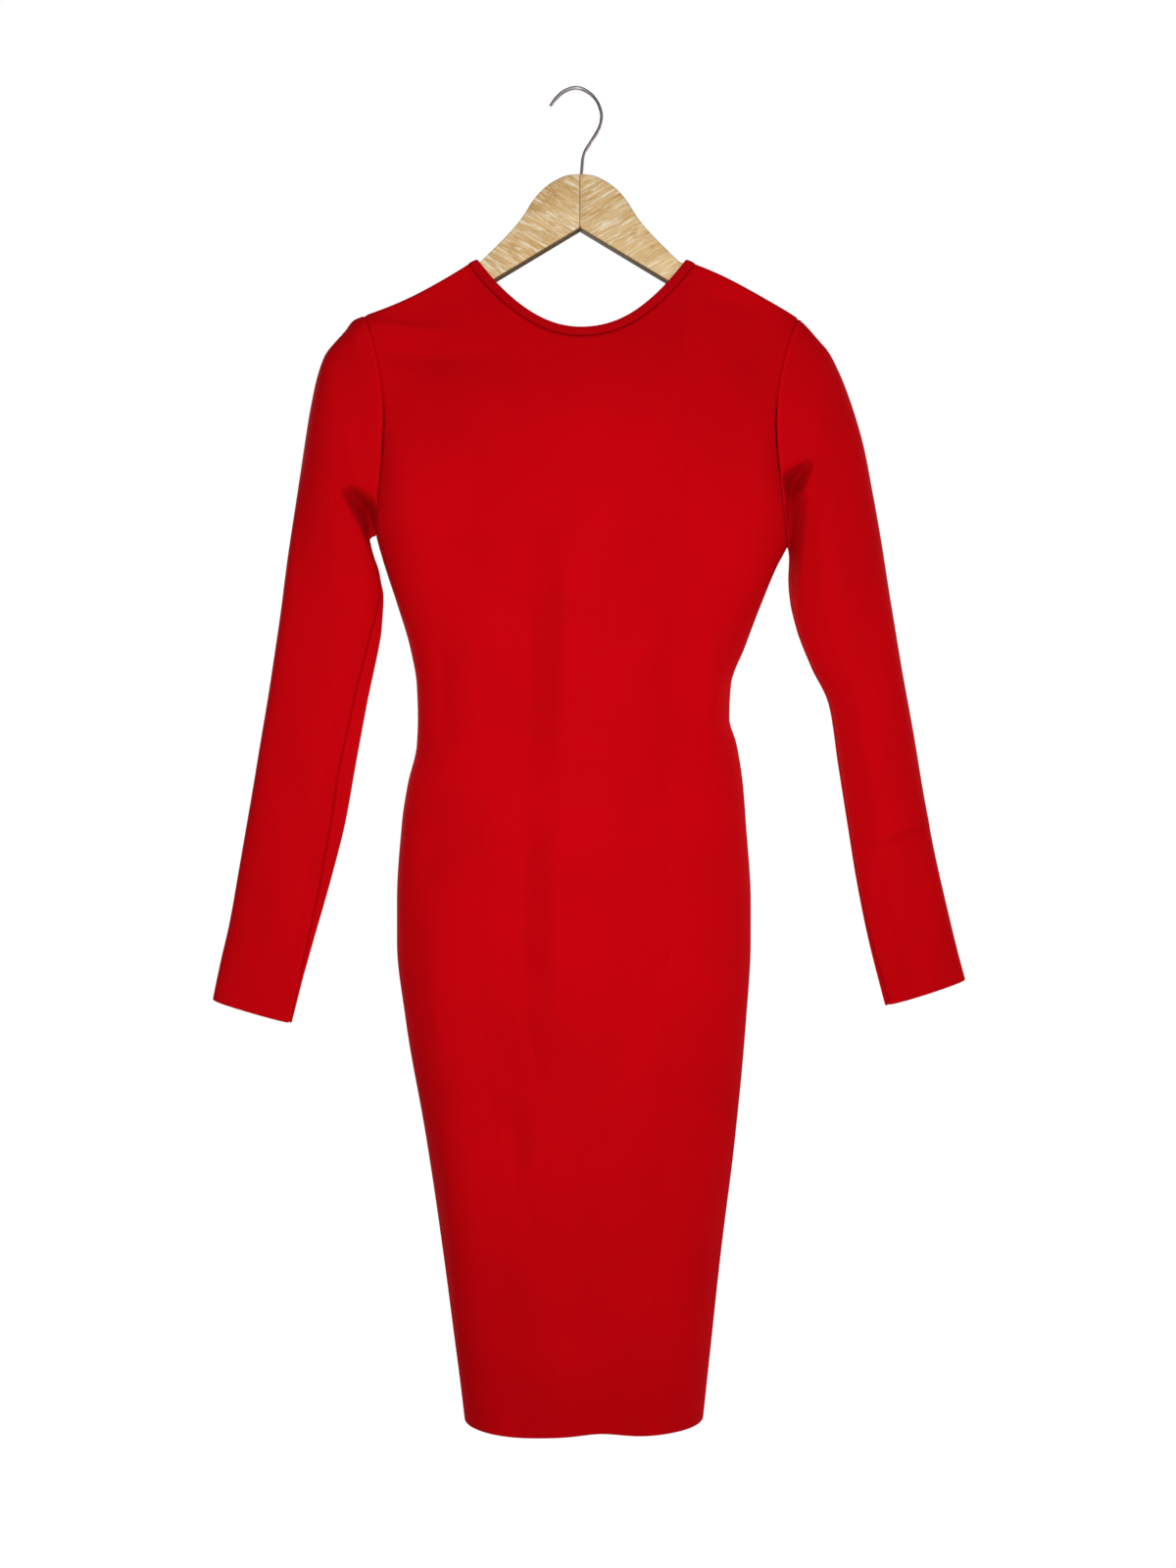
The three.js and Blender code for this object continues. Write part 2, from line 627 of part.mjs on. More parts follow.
const dress = new THREE.Group();
function add(name, geometry, material) {
  const mesh = new THREE.Mesh(geometry, material);
  mesh.name = name;
  dress.add(mesh);
}
add("front_panel", panelGeometry("front"), knit());
add("back_panel", panelGeometry("back"), knit());
add("sleeve_left", sleeveGeometry("left"), knit());
add("sleeve_right", sleeveGeometry("right"), knit());
add("neck_binding", bandGeometry(), knit());
add("hanger_half_left", hangerHalf(-1), wood());
add("hanger_half_right", hangerHalf(1), wood());
add("hanger_hook", hookGeometry(), steel());

export default dress;
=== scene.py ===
"""A red knitted bodycon dress on a wooden coat hanger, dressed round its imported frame."""

import math

import bmesh
import bpy
import numpy as np
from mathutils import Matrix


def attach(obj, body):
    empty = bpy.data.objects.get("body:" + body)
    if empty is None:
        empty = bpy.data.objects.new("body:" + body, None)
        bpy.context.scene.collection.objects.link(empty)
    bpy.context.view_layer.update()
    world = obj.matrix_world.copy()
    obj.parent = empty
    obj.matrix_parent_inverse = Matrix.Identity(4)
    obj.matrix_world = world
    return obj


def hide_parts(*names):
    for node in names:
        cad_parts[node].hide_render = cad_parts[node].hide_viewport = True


bl_info = {
    "name": "Bodycon Dress on a Hanger",
    "version": (1, 0, 0),
    "blender": (4, 5, 0),
    "location": "View3D > Sidebar > Dress",
    "description": "Models the knitted dress, its hanger and a plain studio round the packed frame",
    "category": "Object",
}

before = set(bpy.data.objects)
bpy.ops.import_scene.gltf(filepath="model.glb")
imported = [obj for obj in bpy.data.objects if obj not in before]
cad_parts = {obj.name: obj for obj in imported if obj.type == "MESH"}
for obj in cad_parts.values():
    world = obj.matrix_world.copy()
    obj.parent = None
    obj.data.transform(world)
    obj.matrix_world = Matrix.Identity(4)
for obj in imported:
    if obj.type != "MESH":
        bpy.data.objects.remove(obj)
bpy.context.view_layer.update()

# The tables and outlines below are in millimetres, and the pieces' meshes in metres
MM = 0.001
LEFT, RIGHT = "left", "right"
FRONT, BACK = "front", "back"
SIGN = {FRONT: -1, BACK: 1}
BODY_NAME = "root"

HEM_Z = -1148.8
NECK_X = 3.9
NECK_HALF = 90.4
NECK_Z = -149.2
NECK_DROP = 63.5
NECK_RISE = 26
BAND_FALL = 4
BAND_WIDTH = 7.8
SHOULDER_BOW = {LEFT: -3.4, RIGHT: 2.8}
SHOULDER_HALF_DEPTH = 9.4
SHOULDER_ROUND = 5
FULL_DROP = 190
DROP_EASE = 1.7
FLATNESS = 2.8
YOKE_FLATNESS = 12
OUTER_FULLNESS = 3
INNER_FULLNESS = 2
BOW_SKEW = 0.8
FOLD_END = 0.45
FOLD_EDGE = 9
JOINT_X = 2.3
STEM_X = 3.7
STEM_DEPTH = 24
REST = 3.3
BAND_PROUD = 0.7

# Body from the underarms to the hem: the side seams, and how far front and back stand off them
BODY_COLUMNS = ("z", "left", "right", "front", "back")
BODY = (
    (-388, -174.7, 186.0, 40, 30),
    (-398, -171.7, 181.9, 40.5, 30),
    (-415, -166.6, 172.9, 41, 30),
    (-449, -155.5, 158.9, 40, 30),
    (-483, -145.4, 146.0, 37, 29),
    (-517, -139.4, 133.6, 34.5, 28),
    (-545, -138.5, 132.2, 33.5, 27.5),
    (-568, -139.4, 138.5, 34.5, 28),
    (-602, -147.1, 143.8, 38, 30),
    (-636, -152.2, 146.4, 41, 32),
    (-704, -156.4, 150.6, 44, 34),
    (-738, -156.4, 150.6, 45, 34),
    (-806, -148.8, 146.6, 45, 34),
    (-908, -130.9, 137.0, 44.5, 33),
    (-1010, -115.6, 124.3, 45, 33),
    (-1112, -102.0, 113.2, 47, 34),
    (HEM_Z, -97.6, 109.3, 48, 35),
)

# Sleeves: each row is a ring of the tube, from the armhole to the cuff. The outer and inner ends of the
# ring, half its depth, and how far its middle bows towards the body
SLEEVE_COLUMNS = ("outer_x", "outer_z", "inner_x", "inner_z", "depth", "bow")
SLEEVES = {
    LEFT: (
        (-184.5, -197.6, -174.7, -388, 24, 15),
        (-193.4, -201.8, -177.0, -388.2, 24.5, 11),
        (-200.6, -211.2, -179.0, -389.2, 25, 8),
        (-209.4, -221.0, -180.2, -391.4, 25, 6),
        (-217.4, -231.4, -180.0, -395.0, 25, 4),
        (-224.2, -250, -178.6, -400, 24.5, 3),
        (-230.5, -280, -175.6, -408, 24, 1),
        (-236.6, -315, -172.4, -416, 23, 0),
        (-242.6, -355, -170.2, -427, 22, 0),
        (-249.5, -400, -168.0, -441, 20, 0),
        (-256.0, -450, -169.6, -468, 18.5, 0),
        (-266.0, -517, -182.6, -534, 16.5, 0),
        (-274.5, -568, -192.0, -585, 15.5, 0),
        (-283.1, -619, -201.2, -636, 14.5, 0),
        (-292.0, -670, -214.4, -688, 14, 0),
        (-300.9, -721, -229.3, -740, 13, 0),
        (-308.6, -755, -239.0, -775, 12.5, 0),
        (-315.4, -787.5, -247.4, -808.8, 12, 0),
    ),
    RIGHT: (
        (192.1, -200.2, 182.6, -397, 24, 18),
        (200.3, -208.7, 183.4, -399.4, 24.5, 13),
        (209.0, -218.9, 183.8, -402.4, 25, 9),
        (217.0, -228.2, 184.0, -406, 25, 6),
        (228.3, -250, 183.8, -411, 24.5, 3),
        (238.9, -279, 183.4, -417, 24, 1),
        (248.2, -313, 183.0, -424, 23.5, 0),
        (255.8, -352, 183.3, -433, 23, 0),
        (264.3, -400, 184.8, -446, 22, 0),
        (272.0, -449, 190.4, -469, 21, 0),
        (277.6, -484, 203.0, -501, 21, 0),
        (283.1, -517, 218.4, -534, 21, 0),
        (292.4, -568, 226.2, -585, 20, 0),
        (300.9, -619, 234.2, -636, 18, 0),
        (311.0, -670, 242.5, -688, 16, 0),
        (323.0, -721, 253.4, -741, 14, 0),
        (329.5, -747, 260.5, -769, 13, 0),
        (335.8, -770.5, 266.9, -793.5, 12.5, 0),
    ),
}
TOWARDS_BODY = {LEFT: 1, RIGHT: -1}

# The sleeves' long seams: how far each lies from the inner edge, over the front, at that edge's height
SLEEVE_SEAM_COLUMNS = ("z", "inset")
SLEEVE_SEAMS = {
    LEFT: ((-388, 0), (-441, 1.5), (-481, 7.3), (-521, 9.2), (-561, 10.5), (-601, 11.3), (-650, 9.3),
           (-687, 6.7), (-730, 3.9), (-768, 1.8), (-809, 0.6)),
    RIGHT: ((-397, 0), (-560, 0.2), (-690, 0.3), (-735, 1.2), (-770, 2), (-794, 2.2)),
}

# Folds along a line seen from the front. Each row is where the line starts and ends, how far the fold
# reaches to its left and right where it runs down, or below and above it where it runs across, and how
# far it stands above or below the cloth round it
FOLDS = {
    FRONT: (
        (-174, -206, -112, -213, 9, 4, 2.2),
        (-168, -234, -76, -240, 16, 13, -4.4),
        (112, -184, 158, -192, 13, 8, -2.4),
        (138, -236, 150, -250, 7, 7, -0.9),
        (-14, -364, -3, -391, 4.5, 1.8, 1.1),
        (-3, -389, -3, -410, 4, 1.8, 0.9),
        (-30, -376, -30, -466, 20, 14, -1.9),
        (-24, -439, -15, -468, 3, 3, -0.7),
        (-49, -473, -41, -482, 3, 3, -0.5),
        (-8, -400, -11, -660, 14, 26, 6.6),
        (-44, -400, -43, -655, 20, 14, -5.4),
        (-17, -650, -17, -790, 12, 22, 5.4),
        (-44, -650, -47, -775, 15, 11, -4.4),
        (-45, -793, -32, -855, 3, 10, -2.6),
        (-57, -868, -50, -948, 6, 11, -3.2),
        (-34, -868, -32, -960, 9, 16, 2.6),
        (-42, -945, -36, -990, 6, 9, -0.9),
        (84, -470, 82, -605, 18, 15, -5.6),
        (117, -480, 118, -595, 15, 9, 2.6),
        (-115, -480, -113, -562, 9, 12, -2.4),
        (-88, -478, -87, -565, 12, 16, 1.4),
        (-152, -255, -146, -410, 24, 30, 6),
        (156, -255, 152, -410, 30, 24, 4.5),
        (-121, -700, -113, -850, 14, 34, 5),
        (-111, -890, -93, -1170, 13, 36, 9),
        (104, -950, 96, -1160, 24, 22, 2.5),
        (-117, -780, -113, -804, 3, 4, -1),
        (52, -740, 54, -905, 26, 36, 2.2),
        (-24, -960, -16, -1120, 26, 32, -1.6),
        (20, -1080, 20, -1220, 24, 24, -9),
        (-186, -206, -190, -222, 9, 9, 1.8),
        (-209, -278, -211, -428, 20, 11, 3.4),
        (-234, -300, -238, -420, 8, 14, -1.8),
        (-278, -665, -228, -668, 4, 3, -0.8),
        (-262, -590, -214, -596, 7, 5, -0.6),
        (-276, -706, -252, -712, 4, 4, -0.5),
        (203, -345, 218, -470, 9, 22, 4.6),
        (205, -290, 214, -318, 10, 14, 2),
        (246, -556, 262, -628, 10, 26, 3.6),
        (250, -652, 304, -633, 5, 18, 3.6),
        (240, -655, 254, -660, 3, 3, -0.9),
        (262, -700, 300, -694, 7, 7, -0.6),
    ),
    BACK: (
        (172, -207, 100, -214, 5, 7, 1.7),
        (160, -233, 80, -241, 9, 13, -3.2),
        (-150, -190, -96, -184, 12, 8, -2.2),
        (34, -372, 42, -400, 2.4, 5, 0.9),
        (24, -400, 20, -620, 24, 16, 3),
        (-8, -470, -12, -700, 13, 17, -2.2),
        (-44, -500, -38, -860, 20, 14, -2.8),
        (-18, -870, -26, -960, 7, 12, -2),
        (66, -700, 58, -960, 24, 18, -2.6),
        (-92, -470, -96, -610, 16, 18, -2.8),
        (104, -470, 106, -570, 12, 9, -2),
        (116, -760, 112, -812, 4, 3, -1.2),
        (-20, -1070, -22, -1200, 22, 26, -6),
        (-210, -290, -208, -425, 14, 11, 2.6),
        (-232, -300, -236, -430, 9, 13, -1.8),
        (206, -335, 222, -470, 11, 20, 2.8),
        (250, -560, 266, -630, 16, 14, -2.2),
        (-262, -585, -212, -592, 5, 6, -0.9),
        (-282, -690, -236, -684, 4, 4, -0.8),
        (246, -640, 294, -628, 5, 12, 1.2),
    ),
}

# A fold's crest is crisp on a narrow crease and round on a broad fold
CREST_FALL = 2
ROUND_REACH = 15
SIDE_BLEND = 0.5

# Hollows under the arms, where the sleeve folds in beside its seam. The corners go round clockwise as
# seen from the front, each with how steeply the cloth falls in from the edge that follows it, and over
# what distance that edge is rounded
HOLLOWS = {
    FRONT: (
        (
            (-205, -350, 2, 3),
            (-189, -344, 1.7, 4),
            (-169, -359, 2, 1.5),
            (-171, -402, 2, 1),
            (-178, -402, 2, 3),
        ),
        (
            (172, -336, 1.8, 4),
            (188, -325, 1.8, 3.5),
            (207, -320, 1.9, 4.5),
            (193, -366, 1.8, 4),
            (182, -392, 2, 1.5),
        ),
        (
            (175, -350, 1.2, 2),
            (200, -350, 1, 4),
            (197, -418, 0.9, 4),
            (190, -466, 1, 3),
            (184, -466, 2, 1),
        ),
    ),
    BACK: (
        (
            (-200, -352, 1.8, 4),
            (-184, -345, 1.5, 4),
            (-168, -358, 1.5, 2),
            (-170, -402, 2, 1),
            (-178, -402, 1.7, 3),
        ),
        (
            (170, -342, 1.7, 4),
            (186, -332, 1.6, 4),
            (203, -329, 1.7, 4),
            (190, -374, 1.6, 4),
            (181, -396, 2, 2),
        ),
    ),
}
HOLLOW_FLOOR = 2
HOLLOW_BLEND = 2.8
# Painted shade in the hollows: how much it darkens the colour at most, and the fall in millimetres over which
# it deepens
HOLLOW_PAINTED_SHADE = -0.32
HOLLOW_DEEP = 5.5

# Slow waves of the hanging cloth: their lengths across and down, where they start, and their height
WAVES = {
    FRONT: ((170, 420, 0.4, 0.9), (96, -260, 2.1, 0.5), (61, 330, 4.4, 0.35), (210, 74, 1.2, 0.3)),
    BACK: ((150, -390, 1.9, 0.9), (104, 240, 0.3, 0.5), (66, -310, 3.2, 0.35), (190, 82, 5.1, 0.3)),
}

# Upper edge of a hanger half: distance from the joint, and height, down to where the cloth covers it.
# From there the arm runs just under the shoulder seam, and dips by low to clear the neck binding
WOOD_TOP = (
    (0, -74.9),
    (10, -75.9),
    (21, -80.3),
    (29.5, -86.1),
    (36.4, -92.7),
    (41.4, -98.9),
    (46, -106.5),
    (54, -117.9),
    (65, -130.1),
    (77, -142.1),
    (86, -150.8),
)
WOOD_COVERED = (
    (92, BAND_PROUD),
    (102, BAND_PROUD),
    (106, 0),
    (126, 0),
    (154, 0),
    (182, 0),
)
WOOD_TIP = (
    (190, -208.2),
    (196.5, -214),
    (201, -220),
    (203, -226.5),
    (202.5, -232.5),
    (198.5, -237),
    (192, -237.4),
)
WOOD_NOTCH_Z = -121.8

# Centre line of the wire hook, from its tip over the crown and down to the wood
HOOK = (
    (-23.6, -14.6),
    (-18.2, -7.4),
    (-10.2, -0.9),
    (0, 1.5),
    (9.9, -2.6),
    (16, -8.9),
    (19.8, -16.8),
    (21, -25),
    (19.4, -32.6),
    (15.6, -39.6),
    (11.2, -46.6),
    (7.2, -53.2),
    (5, -60),
    (4.1, -68),
    (STEM_X, -74.9),
    (STEM_X, -86),
    (STEM_X, -74.9 - STEM_DEPTH),
)


def length_property(name, description, default):
    """A length in metres that a user may change."""
    return bpy.props.FloatProperty(
        name=name, description=description, default=default, min=0, unit="LENGTH", precision=5)


def share_property(name, description, default):
    """A share from 0 to 1 that a user may change."""
    return bpy.props.FloatProperty(
        name=name, description=description, default=default, min=0, max=1, subtype="FACTOR")


def colour_property(name, description, default):
    """A colour that a user may change."""
    return bpy.props.FloatVectorProperty(
        name=name, description=description, default=default, size=3, min=0, max=1, subtype="COLOR")


def power_property(name, description, default):
    """A light's power in watts that a user may change."""
    return bpy.props.FloatProperty(
        name=name, description=description, default=default, min=0, unit="POWER")


class DRESS_PG_cloth(bpy.types.PropertyGroup):
    """Sizes and colours of the knit."""

    thickness: length_property("Thickness", "Thickness of the knit", 0.0018)
    seam_gap: length_property("Seam Gap", "Gap between two pieces at a seam", 0.00006)
    seam_sink: length_property("Seam Sink", "How deep a seam lies in the cloth", 0.0013)
    seam_reach: length_property("Seam Reach", "How far from a seam the cloth dips", 0.0019)
    seam_ridge: length_property("Seam Ridge", "How far the folded seam lifts the sleeve beside it", 0.0007)
    # Painted shade and highlight: how far the dark band along each seam, and the light band on the ridge
    # beside the armholes, reach to each side
    painted_seam_band: length_property("Seam Line", "Reach of the stitch line to each side of a seam", 0.0009)
    band_tuck: length_property("Band Tuck", "How far the neck binding laps the panels' edges", 0.0006)
    pucker_pitch: length_property("Pucker Pitch", "Distance between puckers along a seam", 0.011)
    wale: length_property("Wale", "Width of a column of stitches", 0.0011)
    course: length_property("Course", "Height of a row of stitches", 0.0009)
    red: colour_property("Red", "Colour of the yarn", (0.68, 0.0005, 0.0044))
    deep_red: colour_property("Deep Red", "Colour between the stitches", (0.565, 0.0004, 0.0036))
    band_red: colour_property("Band Red", "Colour of the binding's tighter knit", (0.6, 0.0007, 0.0048))
    band_deep_red: colour_property("Band Deep Red", "Colour between its stitches", (0.5, 0.0005, 0.004))
    sheen: share_property("Sheen", "Strength of the yarn's nap", 0.08)


class DRESS_PG_hanger(bpy.types.PropertyGroup):
    """Sizes and colours of the hanger."""

    thickness: length_property("Thickness", "Thickness of the wooden arms", 0.012)
    edge: length_property("Edge", "Rounding of the wood's edges", 0.0016)
    joint_gap: length_property("Joint Gap", "Width of the glued joint", 0.00006)
    socket_gap: length_property("Socket Gap", "Room round the hook's stem in the wood", 0.0003)
    wire_radius: length_property("Wire Radius", "Radius of the hook's wire", 0.0015)
    pale: colour_property("Pale Wood", "Colour of the pale grain", (0.8, 0.575, 0.29))
    tan: colour_property("Tan Wood", "Main colour of the wood", (0.55, 0.32, 0.095))
    brown: colour_property("Brown Wood", "Colour of the dark flecks", (0.3, 0.15, 0.05))
    # Painted shade: the dark colour given to the faces of the arms that look down
    under: colour_property("Underside", "Colour of the bare edge under the arms", (0.09, 0.045, 0.012))
    worn: colour_property("Worn Wood", "Colour of the rubbed streaks", (0.92, 0.82, 0.62))


class DRESS_PG_studio(bpy.types.PropertyGroup):
    """The plain studio round the dress."""

    backdrop: share_property("Backdrop", "How white the surroundings look", 1)
    ambient: share_property("Ambient", "How much light the surroundings give", 0.17)
    key: power_property("Key", "Power of the soft light beside the camera", 11.2)
    fill: power_property("Fill", "Power of the weak light from the far right", 17)
    back: power_property("Back", "Power of the light behind the dress", 110)
    sides: power_property("Sides", "Power of the light on the right side", 70)


def column(rows, names, name):
    """One named column of a table."""
    return np.array([row[names.index(name)] for row in rows], dtype=float)


def lerp(a, b, share):
    """The value at a share of the way from a to b."""
    return a + (b - a) * share


def smoothstep(value, low, high):
    """A soft step from 0 at low to 1 at high."""
    share = np.clip((value - low) / (high - low), 0, 1)
    return share * share * (3 - 2 * share)


def curve_through(at, value):
    """A smooth curve through a table's values that never overshoots them."""
    at, value = np.asarray(at, dtype=float), np.asarray(value, dtype=float)
    if at[0] > at[-1]:
        at, value = at[::-1], value[::-1]
    slope = np.diff(value) / np.diff(at)
    before, after = slope[:-1], slope[1:]
    turns = before * after <= 0
    harmonic = 2 * before * after / np.where(turns, 1, before + after)
    tangent = np.concatenate([slope[:1], np.where(turns, 0, harmonic), slope[-1:]])

    def curve(x):
        i = np.clip(np.searchsorted(at, x, side="right") - 1, 0, len(at) - 2)
        span = at[i + 1] - at[i]
        u = np.clip((x - at[i]) / span, 0, 1)
        u2, u3 = u * u, u * u * u
        start = (2 * u3 - 3 * u2 + 1) * value[i] + (u3 - 2 * u2 + u) * span * tangent[i]
        end = (3 * u2 - 2 * u3) * value[i + 1] + (u3 - u2) * span * tangent[i + 1]
        return start + end

    return curve


BODY_CURVES = {
    name: curve_through(column(BODY, BODY_COLUMNS, "z"), column(BODY, BODY_COLUMNS, name))
    for name in BODY_COLUMNS[1:]
}
SLEEVE_CURVES = {
    arm: {
        name: curve_through(np.linspace(0, 1, len(rows)), column(rows, SLEEVE_COLUMNS, name))
        for name in SLEEVE_COLUMNS
    }
    for arm, rows in SLEEVES.items()
}
SHOULDER = {arm: dict(zip(SLEEVE_COLUMNS, rows[0])) for arm, rows in SLEEVES.items()}
SEAM_HALF = NECK_HALF + BAND_WIDTH
SEAM_Z = NECK_Z - BAND_FALL
SEAM_DROP = NECK_DROP + BAND_WIDTH - BAND_FALL
SHOULDER_SPAN = SHOULDER[RIGHT]["outer_x"] - SHOULDER[LEFT]["outer_x"]
NECK_ACROSS = SEAM_HALF / (SHOULDER_SPAN / 2)


def ring_profile(s):
    """Share of a ring's depth: 0 at its outer end, full near the outer edge and round at the inner one."""
    power = np.where(s < 0.5, OUTER_FULLNESS, INNER_FULLNESS)
    return np.maximum(0, 1 - np.abs(1 - 2 * s) ** power) ** (1 / power)


def bow_profile(s):
    """An armhole seam bows most a little above its middle."""
    return np.sin(np.pi * s ** BOW_SKEW)


def fold_rise(side, x, z):
    """How far the folds and slow waves lift the cloth."""
    rise = np.zeros_like(x)
    for from_x, from_z, to_x, to_z, left_reach, right_reach, height in FOLDS[side]:
        dx, dz = to_x - from_x, to_z - from_z
        t = np.clip(((x - from_x) * dx + (z - from_z) * dz) / (dx * dx + dz * dz), 0, 1)
        off = np.hypot(x - from_x - t * dx, z - from_z - t * dz)
        beside = ((x - from_x) * dz - (z - from_z) * dx) / math.hypot(dx, dz)
        share = smoothstep(beside, -SIDE_BLEND * right_reach, SIDE_BLEND * left_reach)
        reach = lerp(right_reach, left_reach, share)
        fade = lerp(FOLD_END, 1, np.sin(np.pi * t))
        crest_round = min(1, (left_reach + right_reach) / 2 / ROUND_REACH)
        rise += height * fade * np.exp(-CREST_FALL * (np.hypot(off / reach, crest_round) - crest_round))
    for across, down, start, height in WAVES[side]:
        rise += height * np.sin(2 * np.pi * (x / across + z / down) + start)
    return rise


def hollow_fall(side, x, z):
    """How deep the cloth falls into the hollows under the arms."""
    fall = np.zeros_like(x)
    for corners in HOLLOWS[side]:
        total = np.zeros_like(x)
        for (ax, az, slope, rounding), (bx, bz, *_) in zip(corners, corners[1:] + corners[:1]):
            reach = math.hypot(bx - ax, bz - az)
            inside = np.maximum(0, ((bz - az) * (x - ax) - (bx - ax) * (z - az)) / reach)
            depth = slope * (np.hypot(inside, rounding) - rounding)
            total += np.exp(-depth / HOLLOW_BLEND)
        fall = np.maximum(fall, -HOLLOW_BLEND * np.log(total))
    return fall


def hollow_painted_shade(skin):
    """Painted shade: how much darker the hollows under the arms are painted, more where they are deeper."""
    x, y, z = np.moveaxis(skin, -1, 0)
    fall = np.where(y * SIGN[FRONT] > 0, hollow_fall(FRONT, x, z), hollow_fall(BACK, x, z))
    return HOLLOW_PAINTED_SHADE * (1 - np.exp(-fall / HOLLOW_DEEP))


def with_folds(side, x, z, depth):
    """The point of the cloth at x and z, with its folds."""
    share = smoothstep(depth, 0, FOLD_EDGE)
    folded = depth + share * fold_rise(side, x, z)
    stands = np.maximum(folded - hollow_fall(side, x, z), np.minimum(folded, HOLLOW_FLOOR))
    return np.stack([x, SIGN[side] * stands, z], axis=-1)


def sleeve_point(arm, side, t, s):
    """A point of a sleeve: t runs from armhole to cuff and s from outer to inner edge, both 0 to 1."""
    curve = SLEEVE_CURVES[arm]
    bow = TOWARDS_BODY[arm] * curve["bow"](t) * bow_profile(s)
    x = lerp(curve["outer_x"](t), curve["inner_x"](t), s) + bow
    z = lerp(curve["outer_z"](t), curve["inner_z"](t), s)
    return with_folds(side, x, z, curve["depth"](t) * ring_profile(s))


def crest(x):
    """Height of the line that the cloth hangs from: the shoulder seams, carried on over the neck opening."""
    out = (x - NECK_X) / SEAM_HALF
    height = SEAM_Z + NECK_RISE * (1 - out * out)
    for arm, sign in ((LEFT, -1), (RIGHT, 1)):
        start = NECK_X + sign * SEAM_HALF
        t = (x - start) / (SHOULDER[arm]["outer_x"] - start)
        line = lerp(SEAM_Z, SHOULDER[arm]["outer_z"], t) + 4 * SHOULDER_BOW[arm] * t * (1 - t)
        height = np.where(sign * out >= 1, line, height)
    return height


def underarm_z(across):
    """Height of the line between the two underarm points."""
    return lerp(SHOULDER[LEFT]["inner_z"], SHOULDER[RIGHT]["inner_z"], (across + 1) / 2)


def stand_off(side, across, x, z):
    """How far the yoke stands off: it turns over the hanger's arm and widens down to the chest."""
    chest = BODY_CURVES[side](underarm_z(across))
    below = np.maximum(0, crest(x) - z)
    turn = 1 - np.minimum(below / SHOULDER_ROUND, 1)
    cap = (1 - turn ** 3) ** (1 / 3)
    grow = np.sin(np.pi / 2 * np.minimum(below / FULL_DROP, 1)) ** DROP_EASE
    return SHOULDER_HALF_DEPTH * cap + (chest - SHOULDER_HALF_DEPTH) * grow


def neck_edge(w):
    """Free edge of the neck binding, for w from -1 to 1 across."""
    return NECK_X + NECK_HALF * w, NECK_Z - NECK_DROP * (1 - w * w)


def neck_seam(w):
    """Seam of the neck binding, for w from -1 to 1 across."""
    return NECK_X + SEAM_HALF * w, SEAM_Z - SEAM_DROP * (1 - w * w)


def top_edge(across):
    """Top edge of a body panel: shoulder seam, neck seam, shoulder seam."""
    neck_x, neck_z = neck_seam(np.clip(across / NECK_ACROSS, -1, 1))
    t = np.clip((np.abs(across) - NECK_ACROSS) / (1 - NECK_ACROSS), 0, 1)
    outer_x = np.where(across < 0, SHOULDER[LEFT]["outer_x"], SHOULDER[RIGHT]["outer_x"])
    x = lerp(neck_x, outer_x, t)
    return x, np.where(np.abs(across) <= NECK_ACROSS, neck_z, crest(x))


def yoke_point(side, across, down):
    """A point of a body panel above the underarms: down is 0 at the top edge and 1 at the underarms."""
    share = (across + 1) / 2
    left = sleeve_point(LEFT, side, np.zeros_like(down), down)
    right = sleeve_point(RIGHT, side, np.zeros_like(down), down)
    top_x, top_z = top_edge(across)
    straight_x = lerp(SHOULDER[LEFT]["outer_x"], SHOULDER[RIGHT]["outer_x"], share)
    x = lerp(left[..., 0], right[..., 0], share) + (top_x - straight_x) * (1 - down)
    z = lerp(top_z, underarm_z(across), down)
    arm_depth = np.where(across < 0, SHOULDER[LEFT]["depth"], SHOULDER[RIGHT]["depth"])
    settled = smoothstep(down, 0, 1)
    flatness = lerp(YOKE_FLATNESS, FLATNESS, settled)
    round_off = (1 - np.abs(across) ** flatness) ** (1 / lerp(1, 2, settled))
    depth = lerp(arm_depth * ring_profile(down), stand_off(side, across, x, z), round_off)
    return with_folds(side, x, z, depth)


def skirt_point(side, across, down):
    """A point of a body panel below the underarms: down is 0 there and 1 at the hem."""
    z = lerp(underarm_z(across), HEM_Z, down)
    left = BODY_CURVES[LEFT](lerp(SHOULDER[LEFT]["inner_z"], HEM_Z, down))
    right = BODY_CURVES[RIGHT](lerp(SHOULDER[RIGHT]["inner_z"], HEM_Z, down))
    x = lerp(left, right, (across + 1) / 2)
    round_off = np.sqrt(np.maximum(0, 1 - np.abs(across) ** FLATNESS))
    return with_folds(side, x, z, BODY_CURVES[side](z) * round_off)


def arc_along(grid):
    """Distance of each point from the start of its row."""
    step = np.linalg.norm(np.diff(grid, axis=1), axis=2)
    return np.concatenate([np.zeros((len(grid), 1)), np.cumsum(step, axis=1)], axis=1)


def resampled(grid, arc, wanted):
    """Each row's points at the wanted distances along it."""
    rows = [
        np.stack([np.interp(w, a, row[:, axis]) for axis in range(3)], axis=-1)
        for row, a, w in zip(grid, arc, wanted)
    ]
    return np.array(rows)


def trimmed(grid, start, end):
    """The rows drawn in a little at their ends."""
    arc = arc_along(grid)
    total = arc[:, -1:]
    return resampled(grid, arc, start + arc * (total - start - end) / total)


def turned(grid):
    """Rows as columns."""
    return np.swapaxes(grid, 0, 1)


def outward(grid, closed, sign):
    """Outward direction at each point of a skin."""
    across = np.gradient(grid, axis=1)
    if closed:
        across = (np.roll(grid, -1, axis=1) - np.roll(grid, 1, axis=1)) / 2
    normal = sign * np.cross(across, np.gradient(grid, axis=0))
    return normal / np.linalg.norm(normal, axis=-1, keepdims=True)


HEM_STEPS = 6
PUCKER_SHARE = 0.3
PUCKER_DRIFT = 1.7
PUCKER_DRIFT_LENGTH = 37
ROLL_CENTRE = 1.1
ROLL_WIDTH = 0.6
ROLL_STEEPNESS = 2
